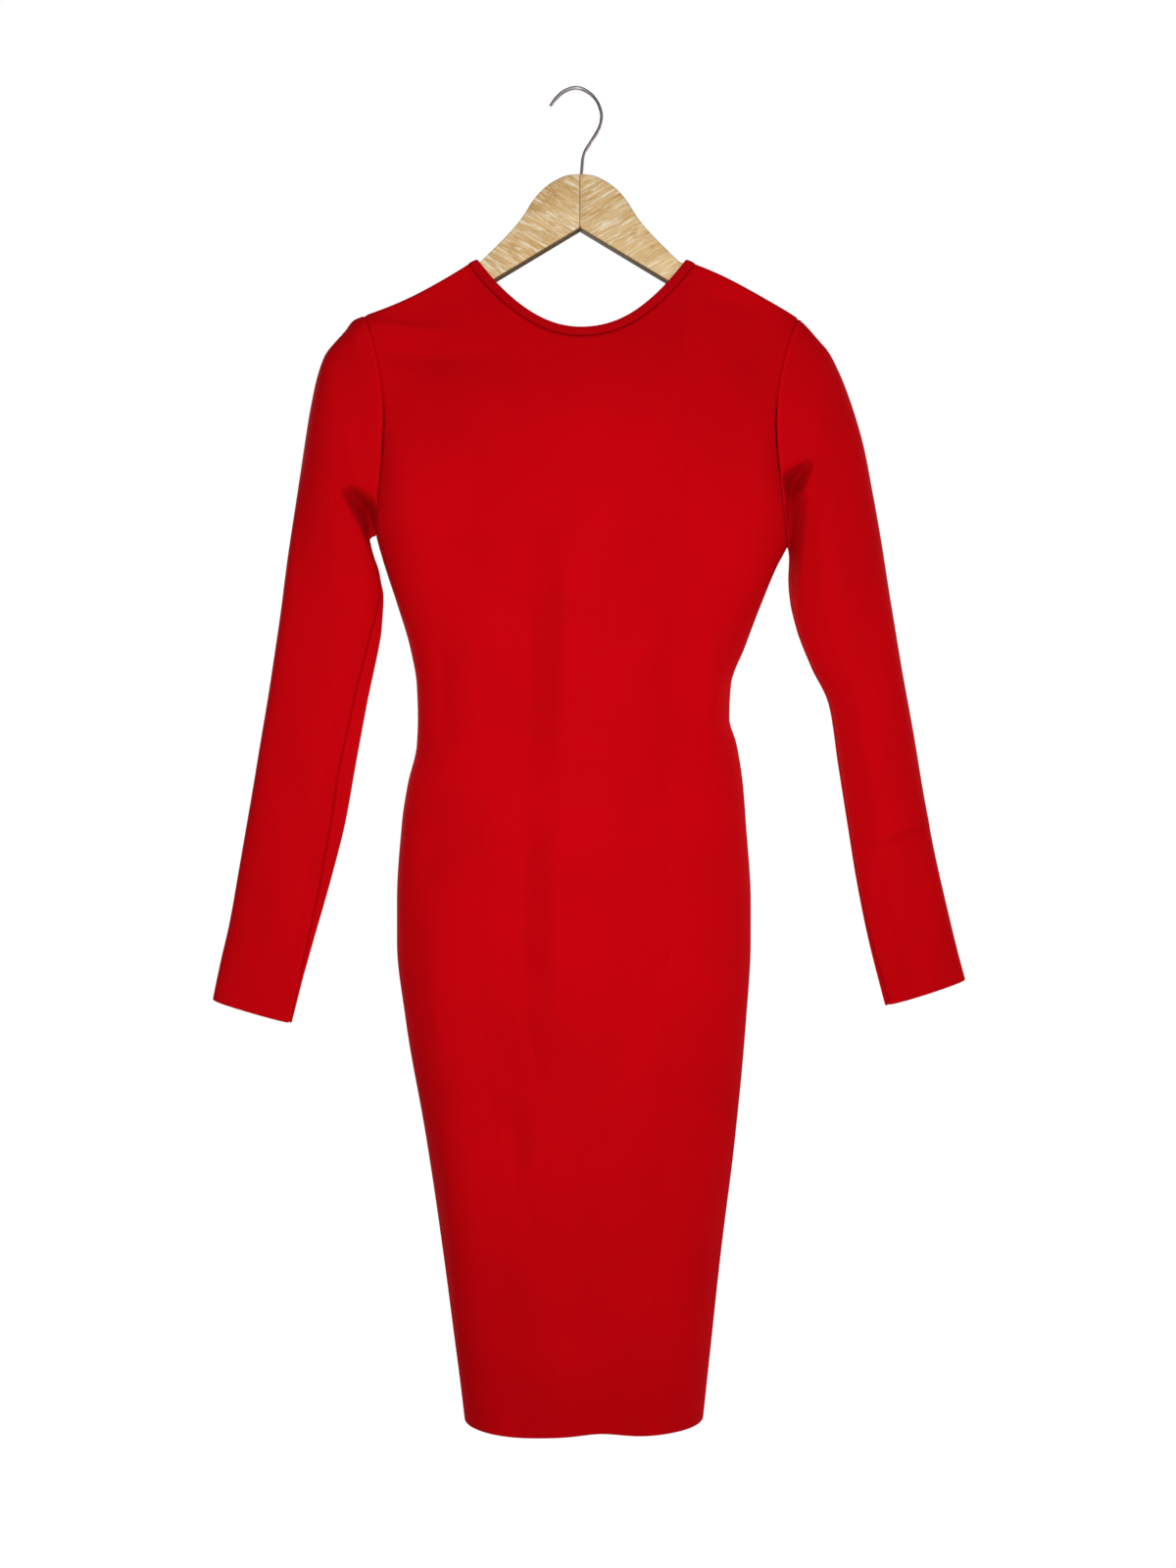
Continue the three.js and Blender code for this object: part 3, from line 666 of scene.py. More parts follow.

# The attribute that the knit reads for painted light and shade: painted shade along the seams and in the
# hollows under the arms, and a painted highlight on the rolled edge beside the armholes
TONE_NAME = "seam_tone"
PLAIN_TONE = 0.5
# Painted shade along the panels' and binding's seams and along the sleeves' long seams, and painted highlight
# on the rolled edge beside the armholes
SEAM_PAINTED_SHADE = -0.34
LONG_SEAM_PAINTED_SHADE = -0.3
ROLL_PAINTED_HIGHLIGHT = 0.3


def seam_dip(cloth, distance, along):
    """How deep the cloth lies near a seam, with slight puckers along it."""
    pitch = cloth.pucker_pitch / MM
    drift = PUCKER_DRIFT * np.sin(along / PUCKER_DRIFT_LENGTH)
    pucker = 1 + PUCKER_SHARE * np.sin(2 * np.pi * along / pitch + drift)
    return cloth.seam_sink / MM * pucker * np.exp(-((distance / (cloth.seam_reach / MM)) ** 2))


def painted_seam_band(cloth, distance):
    """How strongly a painted band along a seam shows at a distance from it: painted shade along the seams,
    and painted highlight on the ridge beside the armholes.
    """
    return np.exp(-((distance / (cloth.painted_seam_band / MM)) ** 2))


def seam_roll(cloth, distance):
    """How far the sleeve is lifted beside a seam, where the edges are folded under it."""
    reach = cloth.seam_reach / MM
    return cloth.seam_ridge / MM * np.exp(-((distance / reach - ROLL_CENTRE) / ROLL_WIDTH) ** 2)


def wall_rows(outer, inner, normal):
    """Rows round a cloth wall: down its outside, round its free edge and up its inside."""
    down = outer[-1] - outer[-2] + inner[-1] - inner[-2]
    down /= np.linalg.norm(down, axis=-1, keepdims=True)
    middle = (outer[-1] + inner[-1]) / 2
    half = np.linalg.norm(outer[-1] - inner[-1], axis=-1, keepdims=True) / 2
    angles = np.pi * np.arange(1, HEM_STEPS + 1) / (HEM_STEPS + 1)
    rounding = [middle + half * (math.cos(a) * normal[-1] + math.sin(a) * down) for a in angles]
    return np.concatenate([outer, np.array(rounding), inner[::-1]])


def wall_tone(outer_tone):
    """The painted shade and highlight of a wall's outside, with its rounded edge and its inside left plain.
    """
    plain = np.zeros((HEM_STEPS + len(outer_tone), outer_tone.shape[1]))
    return np.concatenate([outer_tone, plain])


def wall_mesh(name, rows, u, v, tone, closed, flip):
    """A closed cloth wall from its rows, with its lengths across and down as its map in metres."""
    high, wide = rows.shape[:2]
    last = wide if closed else wide - 1
    r, c = np.meshgrid(np.arange(high), np.arange(last), indexing="ij")
    r, c = r.ravel(), c.ravel()
    below, beside = (r + 1) % high, c + 1
    corners = [(r, c), (below, c), (below, beside), (r, beside)]
    if flip:
        corners.reverse()
    faces = np.stack([row * wide + col % wide for row, col in corners], axis=1)
    coords = np.stack([np.stack([u[row, col], v[row, col % wide]], axis=-1) for row, col in corners], axis=1)
    if not closed:
        i = np.arange(high // 2 - 1)
        for side, turn in ((0, flip), (wide - 1, not flip)):
            cap = [i + 1, i, high - 1 - i, high - 2 - i]
            if turn:
                cap.reverse()
            faces = np.concatenate([faces, np.stack([row * wide + side for row in cap], axis=1)])
            edge = np.stack([np.stack([u[row, side], v[row, side]], axis=-1) for row in cap], axis=1)
            coords = np.concatenate([coords, edge])
    mesh = bpy.data.meshes.new(name)
    mesh.from_pydata((rows.reshape(-1, 3) * MM).tolist(), [], faces.tolist())
    layer = mesh.uv_layers.new(name="Cloth")
    layer.data.foreach_set("uv", (coords.reshape(-1) * MM).astype(np.float32))
    tones = mesh.attributes.new(TONE_NAME, "FLOAT", "POINT")
    tones.data.foreach_set("value", (PLAIN_TONE + tone).astype(np.float32).ravel())
    mesh.update()
    piece = bpy.data.objects.new(name, mesh)
    bpy.context.collection.objects.link(piece)
    return piece


def choose(piece):
    """Make one object the only selected and active one."""
    bpy.ops.object.select_all(action="DESELECT")
    piece.select_set(True)
    bpy.context.view_layer.objects.active = piece


SMOOTH_ANGLE = math.radians(42)


def finish_piece(piece, material, slot, *nodes):
    """Give a piece its material and its body, and hide the nodes that it stands for."""
    choose(piece)
    bpy.ops.object.shade_smooth_by_angle(angle=SMOOTH_ANGLE)
    piece.data.materials.clear()
    piece.data.materials.append(material)
    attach(piece, BODY_NAME)
    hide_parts(*nodes)


def knit_map(skin, start):
    """Lengths across and down a skin, and the same for its rounded edge and its inside."""
    down = turned(arc_along(turned(skin)))
    across = np.concatenate([start, start[:, -1:]], axis=1)
    fold_across = np.repeat(across[-1:], HEM_STEPS, axis=0)
    fold_down = down[-1:] + np.arange(1, HEM_STEPS + 1)[:, None] / 2
    u = np.concatenate([across, fold_across, across[::-1]])
    v = np.concatenate([down, fold_down, down[::-1]])
    return u, v


def add_cloth(node, skin, across, dip, tone, sign, closed, cloth, material):
    """A piece of knit: a wall on its skin, sunk at the seams, with its map, its painted shade and highlight,
    and its cut.
    """
    normal = outward(skin, closed, sign)
    outer = skin - normal * dip[..., None]
    inner = skin - normal * (cloth.thickness / MM)
    u, v = knit_map(skin, across)
    rows = wall_rows(outer, inner, normal)
    piece = wall_mesh(f"{node}_knit", rows, u, v, wall_tone(tone), closed, sign > 0)
    finish_piece(piece, material, "red_knit", node)


NECK_STEPS = 34
SHOULDER_STEPS = 40
EDGE_ANGLES = (0.022, 0.013, 0.006)
YOKE_STEPS = 96
YOKE_CLOSENESS = 1.8
SKIRT_STEPS = 180


def panel_columns():
    """Places across a panel, close together at the neck's corners and at the side seams."""
    neck = NECK_ACROSS * np.sin(np.linspace(0, np.pi / 2, NECK_STEPS))
    shoulder = lerp(NECK_ACROSS, 1, (1 - np.cos(np.linspace(0, np.pi, SHOULDER_STEPS))) / 2)
    edge = [math.cos(angle) for angle in EDGE_ANGLES]
    half = np.concatenate([neck, shoulder[1:-1], edge, [1]])
    return np.concatenate([-half[:0:-1], half])


def panel_skin(side):
    """The outer face of the front or back, row by row from its top edge to its hem."""
    across = panel_columns()
    yoke = np.linspace(0, 1, YOKE_STEPS) ** YOKE_CLOSENESS
    skirt = np.linspace(0, 1, SKIRT_STEPS)[1:]
    upper = yoke_point(side, *np.meshgrid(across, yoke))
    lower = skirt_point(side, *np.meshgrid(across, skirt))
    return np.concatenate([upper, lower])


def add_panel(side, cloth, material):
    """The front or back of the dress."""
    gap = cloth.seam_gap / MM / 2
    skin = trimmed(panel_skin(side), gap, gap)
    skin = turned(trimmed(turned(skin), gap, 0))
    across = arc_along(skin)
    down = turned(arc_along(turned(skin)))
    beside = np.minimum(across, across[:, -1:] - across)
    dip = np.maximum(seam_dip(cloth, beside, down), seam_dip(cloth, down, across))
    centred = across - across[:, -1:] / 2
    # Painted shade: a dark band along the side, shoulder and neck seams
    tone = SEAM_PAINTED_SHADE * painted_seam_band(cloth, np.minimum(beside, down))
    add_cloth(f"{side}_panel", skin, centred, dip, tone, SIGN[side], False, cloth, material)


RING_SAMPLES = 240
RING_STEPS = 130
SEAM_STEPS = (0, 0.6, 1.2, 1.9, 2.8, 4)
SLEEVE_STEPS = 280
SLEEVE_START = 0.028
ARMHOLE_STEPS = (0, 0.002, 0.005, 0.009, 0.014, 0.02)


def sleeve_skin(arm):
    """The outer face of a sleeve, ring by ring from the armhole, each ring starting at the long seam."""
    t = np.concatenate([ARMHOLE_STEPS, np.linspace(SLEEVE_START, 1, SLEEVE_STEPS)])
    s = (1 - np.cos(np.linspace(0, np.pi, RING_SAMPLES))) / 2
    front = sleeve_point(arm, FRONT, *np.meshgrid(t, s, indexing="ij"))
    back = sleeve_point(arm, BACK, *np.meshgrid(t, s, indexing="ij"))
    ring = np.concatenate([front, back[:, -2::-1]], axis=1)
    arc = arc_along(ring)
    total = arc[:, -1:]
    seam = curve_through(
        column(SLEEVE_SEAMS[arm], SLEEVE_SEAM_COLUMNS, "z"),
        column(SLEEVE_SEAMS[arm], SLEEVE_SEAM_COLUMNS, "inset"),
    )
    curve = SLEEVE_CURVES[arm]
    width = np.hypot(curve["outer_x"](t) - curve["inner_x"](t), curve["outer_z"](t) - curve["inner_z"](t))
    seam_s = 1 - seam(curve["inner_z"](t)) / width
    start = np.array([np.interp(at, s, row[:RING_SAMPLES]) for at, row in zip(seam_s, arc)])[:, None]
    near = np.array(SEAM_STEPS)[None, :]
    far = near[:, :0:-1]
    even = np.linspace(0, 1, RING_STEPS)[1:-1]
    middle = lerp(SEAM_STEPS[-1], total - SEAM_STEPS[-1], even[None, :])
    tall = np.ones_like(total)
    steps = np.concatenate([near * tall, middle, total - far], axis=1)
    twice = np.concatenate([ring, ring[:, 1:]], axis=1)
    skin = resampled(twice, np.concatenate([arc, arc[:, 1:] + total], axis=1), start + steps)
    return skin, np.concatenate([steps, total], axis=1)


def add_sleeve(arm, cloth, material):
    """One sleeve, a tube with a single long seam."""
    skin, around = sleeve_skin(arm)
    skin = turned(trimmed(turned(skin), cloth.seam_gap / MM / 2, 0))
    down = turned(arc_along(turned(skin)))
    beside = np.minimum(around, around[:, -1:] - around)[:, :-1]
    long_dip = seam_dip(cloth, beside, down)
    arm_dip = seam_dip(cloth, down * ROLL_STEEPNESS, around[:, :-1]) - seam_roll(cloth, down)
    dip = np.maximum(long_dip, arm_dip)
    # Painted highlight on the ridge beside the armhole, and painted shade along the long seam and in the
    # hollows under the arms
    roll = painted_seam_band(cloth, down - ROLL_CENTRE * cloth.seam_reach / MM)
    tone = ROLL_PAINTED_HIGHLIGHT * roll + LONG_SEAM_PAINTED_SHADE * painted_seam_band(cloth, beside) + hollow_painted_shade(skin)
    add_cloth(f"sleeve_{arm}", skin, around, dip, tone, -TOWARDS_BODY[arm], True, cloth, material)


BAND_STATIONS = 150
BAND_SECTION = 28
BAND_FULLNESS = 2.7


def add_neck_binding(cloth, material):
    """The binding: a plump double strip swept round the neck opening, over both shoulder seams."""
    w = np.sin(np.linspace(-np.pi / 2, np.pi / 2, BAND_STATIONS))[:-1]
    seam, edge = [], []
    for side in (FRONT, BACK):
        across = -SIGN[side] * w
        for line, place in ((seam, neck_seam), (edge, neck_edge)):
            x, z = place(across)
            line.append(with_folds(side, x, z, stand_off(side, across * NECK_ACROSS, x, z)))
    seam, edge = np.concatenate(seam), np.concatenate(edge)
    middle = seam + edge
    along = np.roll(middle, -1, axis=0) - np.roll(middle, 1, axis=0)
    along /= np.linalg.norm(along, axis=-1, keepdims=True)
    out = edge - seam
    width = np.linalg.norm(out, axis=-1, keepdims=True)
    out /= width
    normal = np.cross(along, out)
    normal /= np.linalg.norm(normal, axis=-1, keepdims=True)
    thickness = cloth.thickness / MM
    tuck = cloth.band_tuck / MM
    foot = seam - normal * thickness / 2
    angle = np.linspace(0, 2 * np.pi, BAND_SECTION, endpoint=False)
    cos, sin = np.cos(angle), np.sin(angle)
    across = (1 - np.sign(cos) * np.abs(cos) ** (2 / BAND_FULLNESS)) / 2
    off = np.sign(sin) * np.abs(sin) ** (2 / BAND_FULLNESS) * (thickness / 2 + BAND_PROUD)
    rows = np.array([foot + out * lerp(-tuck, width, a) + normal * o for a, o in zip(across, off)])
    length = np.concatenate([[0], np.cumsum(np.linalg.norm(np.roll(foot, -1, 0) - foot, axis=-1))])
    v = np.repeat(length[None, :], BAND_SECTION, axis=0)
    u = np.repeat((across * width.mean())[:, None], BAND_STATIONS * 2 - 2, axis=1)
    # Painted shade: a dark band along the binding's seam edge
    tone = SEAM_PAINTED_SHADE * np.repeat(painted_seam_band(cloth, across * width.mean())[:, None], len(foot), axis=1)
    piece = wall_mesh("neck_binding_knit", rows, v, u, tone, True, True)
    finish_piece(piece, material, "red_knit", "neck_binding")


def nodes_of(name):
    """A new material with an empty node tree, its output and a Principled shader."""
    material = bpy.data.materials.new(name)
    material.use_nodes = True
    tree = material.node_tree
    tree.nodes.clear()
    output = tree.nodes.new("ShaderNodeOutputMaterial")
    shader = tree.nodes.new("ShaderNodeBsdfPrincipled")
    tree.links.new(shader.outputs["BSDF"], output.inputs["Surface"])
    return material, tree, shader


def set_sockets(node, values):
    """Set a node's unlinked sockets by name."""
    for name, value in values.items():
        node.inputs[name].default_value = value


def add_node(tree, kind, **settings):
    """A node with its settings, and with its unlinked sockets set by name."""
    node = tree.nodes.new(kind)
    set_sockets(node, settings.pop("sockets", {}))
    for name, value in settings.items():
        setattr(node, name, value)
    return node


def add_math(tree, operation, first, second):
    """One sum of two sockets or numbers."""
    node = add_node(tree, "ShaderNodeMath", operation=operation)
    for socket, value in zip(node.inputs, (first, second)):
        if isinstance(value, bpy.types.NodeSocket):
            tree.links.new(value, socket)
        else:
            socket.default_value = value
    return node.outputs[0]


def add_ramp(tree, factor, stops):
    """A colour ramp through the stops, each a position and a colour."""
    ramp = add_node(tree, "ShaderNodeValToRGB")
    elements = ramp.color_ramp.elements
    while len(elements) < len(stops):
        elements.new(0.5)
    for element, (position, colour) in zip(elements, stops):
        element.position = position
        element.color = (*colour, 1)
    tree.links.new(factor, ramp.inputs["Fac"])
    return ramp.outputs["Color"]


def add_mix(tree, factor, first, colour):
    """A socket's colour mixed with a plain one."""
    mix = add_node(tree, "ShaderNodeMix", data_type="RGBA")
    tree.links.new(factor, mix.inputs[0])
    tree.links.new(first, mix.inputs[6])
    mix.inputs[7].default_value = (*colour, 1)
    return mix.outputs[2]


def add_noise(tree, place, scale, detail, roughness=0.5, distortion=0):
    """The value of a noise texture at a place."""
    noise = add_node(tree, "ShaderNodeTexNoise", sockets={
        "Scale": scale, "Detail": detail, "Roughness": roughness, "Distortion": distortion})
    tree.links.new(place, noise.inputs["Vector"])
    return noise.outputs["Fac"]


def add_bump(tree, shader, height, strength, distance):
    """Fine relief on a shader."""
    bump = add_node(tree, "ShaderNodeBump", sockets={"Strength": strength, "Distance": distance})
    tree.links.new(height, bump.inputs["Height"])
    tree.links.new(bump.outputs["Normal"], shader.inputs["Normal"])


def grey(value):
    """A grey of that brightness."""
    return (value, value, value)


WAVE_TURN = 20
KNIT_BUMP = 0.00018
KNIT_RELIEF = 0.55
FUZZ_SCALE = 1400
FUZZ_RELIEF = 0.5
FUZZ_SHARE = 0.45
DYE_SHARE = 0.55


def add_stitches(tree, place, direction, pitch, distortion):
    """The columns or rows of the knit as a soft wave."""
    wave = add_node(tree, "ShaderNodeTexWave", bands_direction=direction, wave_profile="SIN", sockets={
        "Scale": 2 * math.pi / WAVE_TURN / pitch, "Distortion": distortion, "Detail": 1, "Detail Scale": 0.4})
    tree.links.new(place, wave.inputs["Vector"])
    return wave.outputs["Fac"]


def knit_material(name, cloth, red, deep_red):
    """Fine plain knit: columns and rows of stitches as bump, with a soft nap, slightly uneven dye, and
    painted shade and highlight read from the mesh.
    """
    material, tree, shader = nodes_of(name)
    around = add_node(tree, "ShaderNodeTexCoord").outputs["UV"]
    wale = add_stitches(tree, around, "X", cloth.wale, 0.6)
    course = add_stitches(tree, around, "Y", cloth.course, 0.8)
    fuzz = add_noise(tree, around, FUZZ_SCALE, 3, 0.65)
    dye = add_noise(tree, around, 9, 4, 0.55)
    stitch = add_math(tree, "MULTIPLY", wale, course)
    height = add_math(tree, "ADD", stitch, add_math(tree, "MULTIPLY", fuzz, FUZZ_RELIEF))
    add_bump(tree, shader, height, KNIT_RELIEF, KNIT_BUMP)
    grain = add_math(tree, "MULTIPLY", fuzz, FUZZ_SHARE)
    tone = add_math(tree, "ADD", grain, add_math(tree, "MULTIPLY", dye, DYE_SHARE))
    colour = add_ramp(tree, tone, ((0.3, deep_red), (0.7, red)))
    # Painted shade and highlight: the mesh's attribute darkens the colour along the seams and in the hollows,
    # and lightens it on the ridge beside the armholes
    seams = add_node(tree, "ShaderNodeAttribute", attribute_name=TONE_NAME)
    stops = ((0, grey(0.3)), (PLAIN_TONE, grey(0.78)), (1, grey(1)))
    shaded = add_node(tree, "ShaderNodeMix", data_type="RGBA", blend_type="MULTIPLY")
    shaded.inputs[0].default_value = 1
    tree.links.new(colour, shaded.inputs[6])
    tree.links.new(add_ramp(tree, seams.outputs["Fac"], stops), shaded.inputs[7])
    tree.links.new(shaded.outputs[2], shader.inputs["Base Color"])
    set_sockets(shader, {
        "Roughness": 0.82,
        "Specular IOR Level": 0.02,
        "Sheen Weight": cloth.sheen,
        "Sheen Roughness": 0.45,
        "Sheen Tint": (1, 0.04, 0.07, 1),
    })
    return material


GRAIN_SLOPE = math.radians(30)
GRAIN_STRETCH = 9
GRAIN_BUMP = 0.0004
GRAIN_RELIEF = 0.35
STREAK_SHARE = 0.5
GLUE_SHARE = 0.8
GLUE_CORE = 0.3
GLUE_REACH = 0.8


def wood_material(name, hanger, slope):
    """Clear-lacquered hardwood with its grain along the arm, brown flecks, pale streaks, and painted shade on
    the faces that look down.
    """
    material, tree, shader = nodes_of(name)
    place = add_node(tree, "ShaderNodeTexCoord").outputs["Object"]
    turn = add_node(tree, "ShaderNodeMapping", sockets={"Rotation": (0, slope, 0)})
    tree.links.new(place, turn.inputs["Vector"])
    along = add_node(tree, "ShaderNodeMapping", sockets={"Scale": (1, GRAIN_STRETCH / 2, GRAIN_STRETCH)})
    tree.links.new(turn.outputs["Vector"], along.inputs["Vector"])
    grain = along.outputs["Vector"]
    streak = add_noise(tree, grain, 26, 7, 0.62, 0.9)
    fleck = add_noise(tree, grain, 95, 5, 0.7, 1.6)
    wear = add_noise(tree, grain, 40, 8, 0.75, 0.5)
    patch = add_noise(tree, turn.outputs["Vector"], 24, 3)
    tone = add_math(tree, "ADD", add_math(tree, "MULTIPLY", streak, STREAK_SHARE),
                    add_math(tree, "MULTIPLY", patch, 1 - STREAK_SHARE))
    base = add_ramp(tree, tone, ((0.38, hanger.tan), (0.62, hanger.pale)))
    marks = add_ramp(tree, fleck, ((0.34, grey(0.8)), (0.47, grey(0))))
    rubbed = add_ramp(tree, wear, ((0.5, grey(0)), (0.62, grey(0.85))))
    flecked = add_mix(tree, marks, base, hanger.brown)
    worn = add_mix(tree, rubbed, flecked, hanger.worn)
    across = add_node(tree, "ShaderNodeSeparateXYZ")
    tree.links.new(place, across.inputs["Vector"])
    off = add_math(tree, "SUBTRACT", add_math(tree, "DIVIDE", across.outputs["X"], MM), JOINT_X)
    apart = add_math(tree, "ABSOLUTE", off, 0)
    glue = add_ramp(tree, apart, ((GLUE_CORE, grey(GLUE_SHARE)), (GLUE_REACH, grey(0))))
    glued = add_mix(tree, glue, worn, hanger.brown)
    # Painted shade: faces that look down take the dark underside colour
    surface = add_node(tree, "ShaderNodeNewGeometry")
    facing = add_node(tree, "ShaderNodeSeparateXYZ")
    tree.links.new(surface.outputs["Normal"], facing.inputs["Vector"])
    below = add_math(tree, "MULTIPLY", facing.outputs["Z"], -1)
    shadowed = add_ramp(tree, below, ((0.55, grey(0)), (0.8, grey(0.92))))
    tree.links.new(add_mix(tree, shadowed, glued, hanger.under), shader.inputs["Base Color"])
    add_bump(tree, shader, fleck, GRAIN_RELIEF, GRAIN_BUMP)
    set_sockets(shader, {"Roughness": 0.6, "Coat Weight": 0.12, "Coat Roughness": 0.4})
    return material


def steel_material():
    """Plated wire with a little tarnish."""
    material, tree, shader = nodes_of("hook_plating")
    place = add_node(tree, "ShaderNodeTexCoord").outputs["Object"]
    tarnish = add_noise(tree, place, 160, 4, 0.6)
    colour = add_ramp(tree, tarnish, ((0.35, (0.3, 0.26, 0.27)), (0.65, (0.52, 0.46, 0.47))))
    tree.links.new(colour, shader.inputs["Base Color"])
    rough = add_ramp(tree, tarnish, ((0.3, grey(0.52)), (0.7, grey(0.38))))
    tree.links.new(rough, shader.inputs["Roughness"])
    set_sockets(shader, {"Metallic": 1})
    return material


EDGE_ROUNDING = 4
WOOD_STEPS = 36
CORNER_ANGLE = math.radians(60)
SOCKET_SIDES = 32

# Metres under which two vertices are one, or lie level, or in the joint's face
SAME_POINT = 1e-6
SAME_WIRE_POINT = 1e-7
IN_JOINT = 2e-6


def wood_outline(direction, joint_gap):
    """Outline of a hanger half, seen from the front."""
    face = JOINT_X + direction * joint_gap / 2
    top = curve_through([out for out, _ in WOOD_TOP], [z for _, z in WOOD_TOP])
    outs = np.linspace(0, WOOD_TOP[-1][0], WOOD_STEPS)
    spots = [(JOINT_X + direction * out, float(top(out))) for out in outs[1:]]
    for out, low in WOOD_COVERED:
        x = JOINT_X + direction * out
        spots.append((x, float(crest(x)) - low - REST))
    spots += [(JOINT_X + direction * out, z) for out, z in WOOD_TIP]
    return [(face, WOOD_TOP[0][1]), *spots, (face, WOOD_NOTCH_Z)]


def flat_board(name, outline, thickness):
    """A flat curve filled and extruded into a board that stands in the plane of the hanger."""
    bpy.ops.curve.primitive_bezier_circle_add(location=(0, 0, 0))
    board = bpy.context.object
    board.name = name
    board.data.splines.clear()
    line = board.data.splines.new("POLY")
    line.points.add(len(outline) - 1)
    for point, (x, z) in zip(line.points, outline):
        point.co = (x * MM, z * MM, 0, 1)
    line.use_cyclic_u = True
    board.data.dimensions = "2D"
    board.data.fill_mode = "BOTH"
    board.data.extrude = thickness / 2
    choose(board)
    bpy.ops.object.convert(target="MESH")
    board.rotation_euler = (math.pi / 2, 0, 0)
    bpy.ops.object.transform_apply(location=False, rotation=True, scale=False)
    return board


def round_edges(board, joint_x, radius):
    """Round the board's long edges, and leave those at the glued joint sharp."""
    choose(board)
    bpy.ops.object.mode_set(mode="EDIT")
    bpy.ops.mesh.select_all(action="SELECT")
    bpy.ops.mesh.remove_doubles(threshold=SAME_POINT)
    bpy.ops.mesh.normals_make_consistent(inside=False)
    bpy.ops.mesh.select_mode(type="EDGE")
    bpy.ops.mesh.select_all(action="DESELECT")
    shape = bmesh.from_edit_mesh(board.data)
    for line in shape.edges:
        at_joint = all(abs(spot.co.x - joint_x) < IN_JOINT for spot in line.verts)
        corner = line.is_manifold and line.calc_face_angle() > CORNER_ANGLE
        lengthwise = abs(line.verts[0].co.y - line.verts[1].co.y) < SAME_POINT
        line.select_set(corner and lengthwise and not at_joint)
    bmesh.update_edit_mesh(board.data)
    bpy.ops.mesh.bevel(offset=radius, segments=EDGE_ROUNDING, profile=0.5, affect="EDGES")
    bpy.ops.object.mode_set(mode="OBJECT")


def drill_socket(board, radius):
    """Drill the hook's socket from above, with half of it in each board."""
    depth = STEM_DEPTH * MM
    bpy.ops.mesh.primitive_cylinder_add(
        vertices=SOCKET_SIDES, radius=radius, depth=depth * 2, location=(STEM_X * MM, 0, WOOD_TOP[0][1] * MM))
    drill = bpy.context.object
    choose(board)
    bpy.ops.object.modifier_add(type="BOOLEAN")
    cut = board.modifiers[-1]
    cut.operation = "DIFFERENCE"
    cut.object = drill
    cut.solver = "EXACT"
    bpy.ops.object.modifier_apply(modifier=cut.name)
    bpy.data.objects.remove(drill)


def add_hanger_half(arm, hanger):
    """One arm of the hanger: a flat board with rounded edges, cut square at the glued joint."""
    direction = -TOWARDS_BODY[arm]
    gap = hanger.joint_gap / MM
    board = flat_board(f"hanger_{arm}_arm", wood_outline(direction, gap), hanger.thickness)
    round_edges(board, (JOINT_X + direction * gap / 2) * MM, hanger.edge)
    drill_socket(board, hanger.wire_radius + hanger.socket_gap)
    material = wood_material(f"hanger_wood_{arm}", hanger, direction * GRAIN_SLOPE)
    finish_piece(board, material, "hanger_wood", f"hanger_half_{arm}")


HOOK_TIP = 0.8
HOOK_STEPS = 10
WIRE_ROUNDING = 6


def add_hook(hanger):
    """The wire hook, a bent rod that thins a little towards its tip."""
    bpy.ops.curve.primitive_bezier_curve_add(location=(0, 0, 0))
    hook = bpy.context.object
    hook.name = "hanger_hook_wire"
    hook.data.splines.clear()
    line = hook.data.splines.new("BEZIER")
    line.bezier_points.add(len(HOOK) - 1)
    for point, (x, z) in zip(line.bezier_points, HOOK):
        point.co = (x * MM, 0, z * MM)
        point.handle_left_type = point.handle_right_type = "AUTO"
    line.bezier_points[0].radius = HOOK_TIP
    line.resolution_u = HOOK_STEPS
    hook.data.bevel_depth = hanger.wire_radius
    hook.data.bevel_resolution = WIRE_ROUNDING
    hook.data.use_fill_caps = True
    choose(hook)
    bpy.ops.object.convert(target="MESH")
    bpy.ops.object.mode_set(mode="EDIT")
    bpy.ops.mesh.select_all(action="SELECT")
    bpy.ops.mesh.remove_doubles(threshold=SAME_WIRE_POINT)
    bpy.ops.mesh.normals_make_consistent(inside=False)
    bpy.ops.object.mode_set(mode="OBJECT")
    finish_piece(hook, steel_material(), "hook_steel", "hanger_hook")


CAMERA_PLACE = (0.00935, -1.3, -0.6022)
CAMERA_LENS = 34.41
FLOOR_Z = -1.9
FLOOR_RADIUS = 1.1
FLOOR_DEPTH = 0.01
FLOOR_SIDES = 128
LIGHT_TARGET = (0, 0, -0.62)

# Place, size across, and the setting that holds its power
LIGHTS = {
    "key_light": ((0.02, -1.1, -0.49), 0.45, "key"),
    "fill_light": ((3, -3.2, -0.3), 1.6, "fill"),
    "back_light": ((-2.2, 2.6, 0.2), 2.4, "back"),
    "side_light": ((3, 1.6, 0.1), 2, "sides"),
}


def add_light(name, place, size, power):
    """A large soft area light that faces the dress."""
    data = bpy.data.lights.new(name, "AREA")
    data.shape = "DISK"
    data.size = size
    data.energy = power
    light = bpy.data.objects.new(name, data)
    light.location = place
    offset = [target - spot for target, spot in zip(LIGHT_TARGET, place)]
    level = math.hypot(offset[0], offset[1])
    light.rotation_euler = (math.atan2(level, -offset[2]), 0, math.atan2(-offset[0], offset[1]))
    bpy.context.collection.objects.link(light)


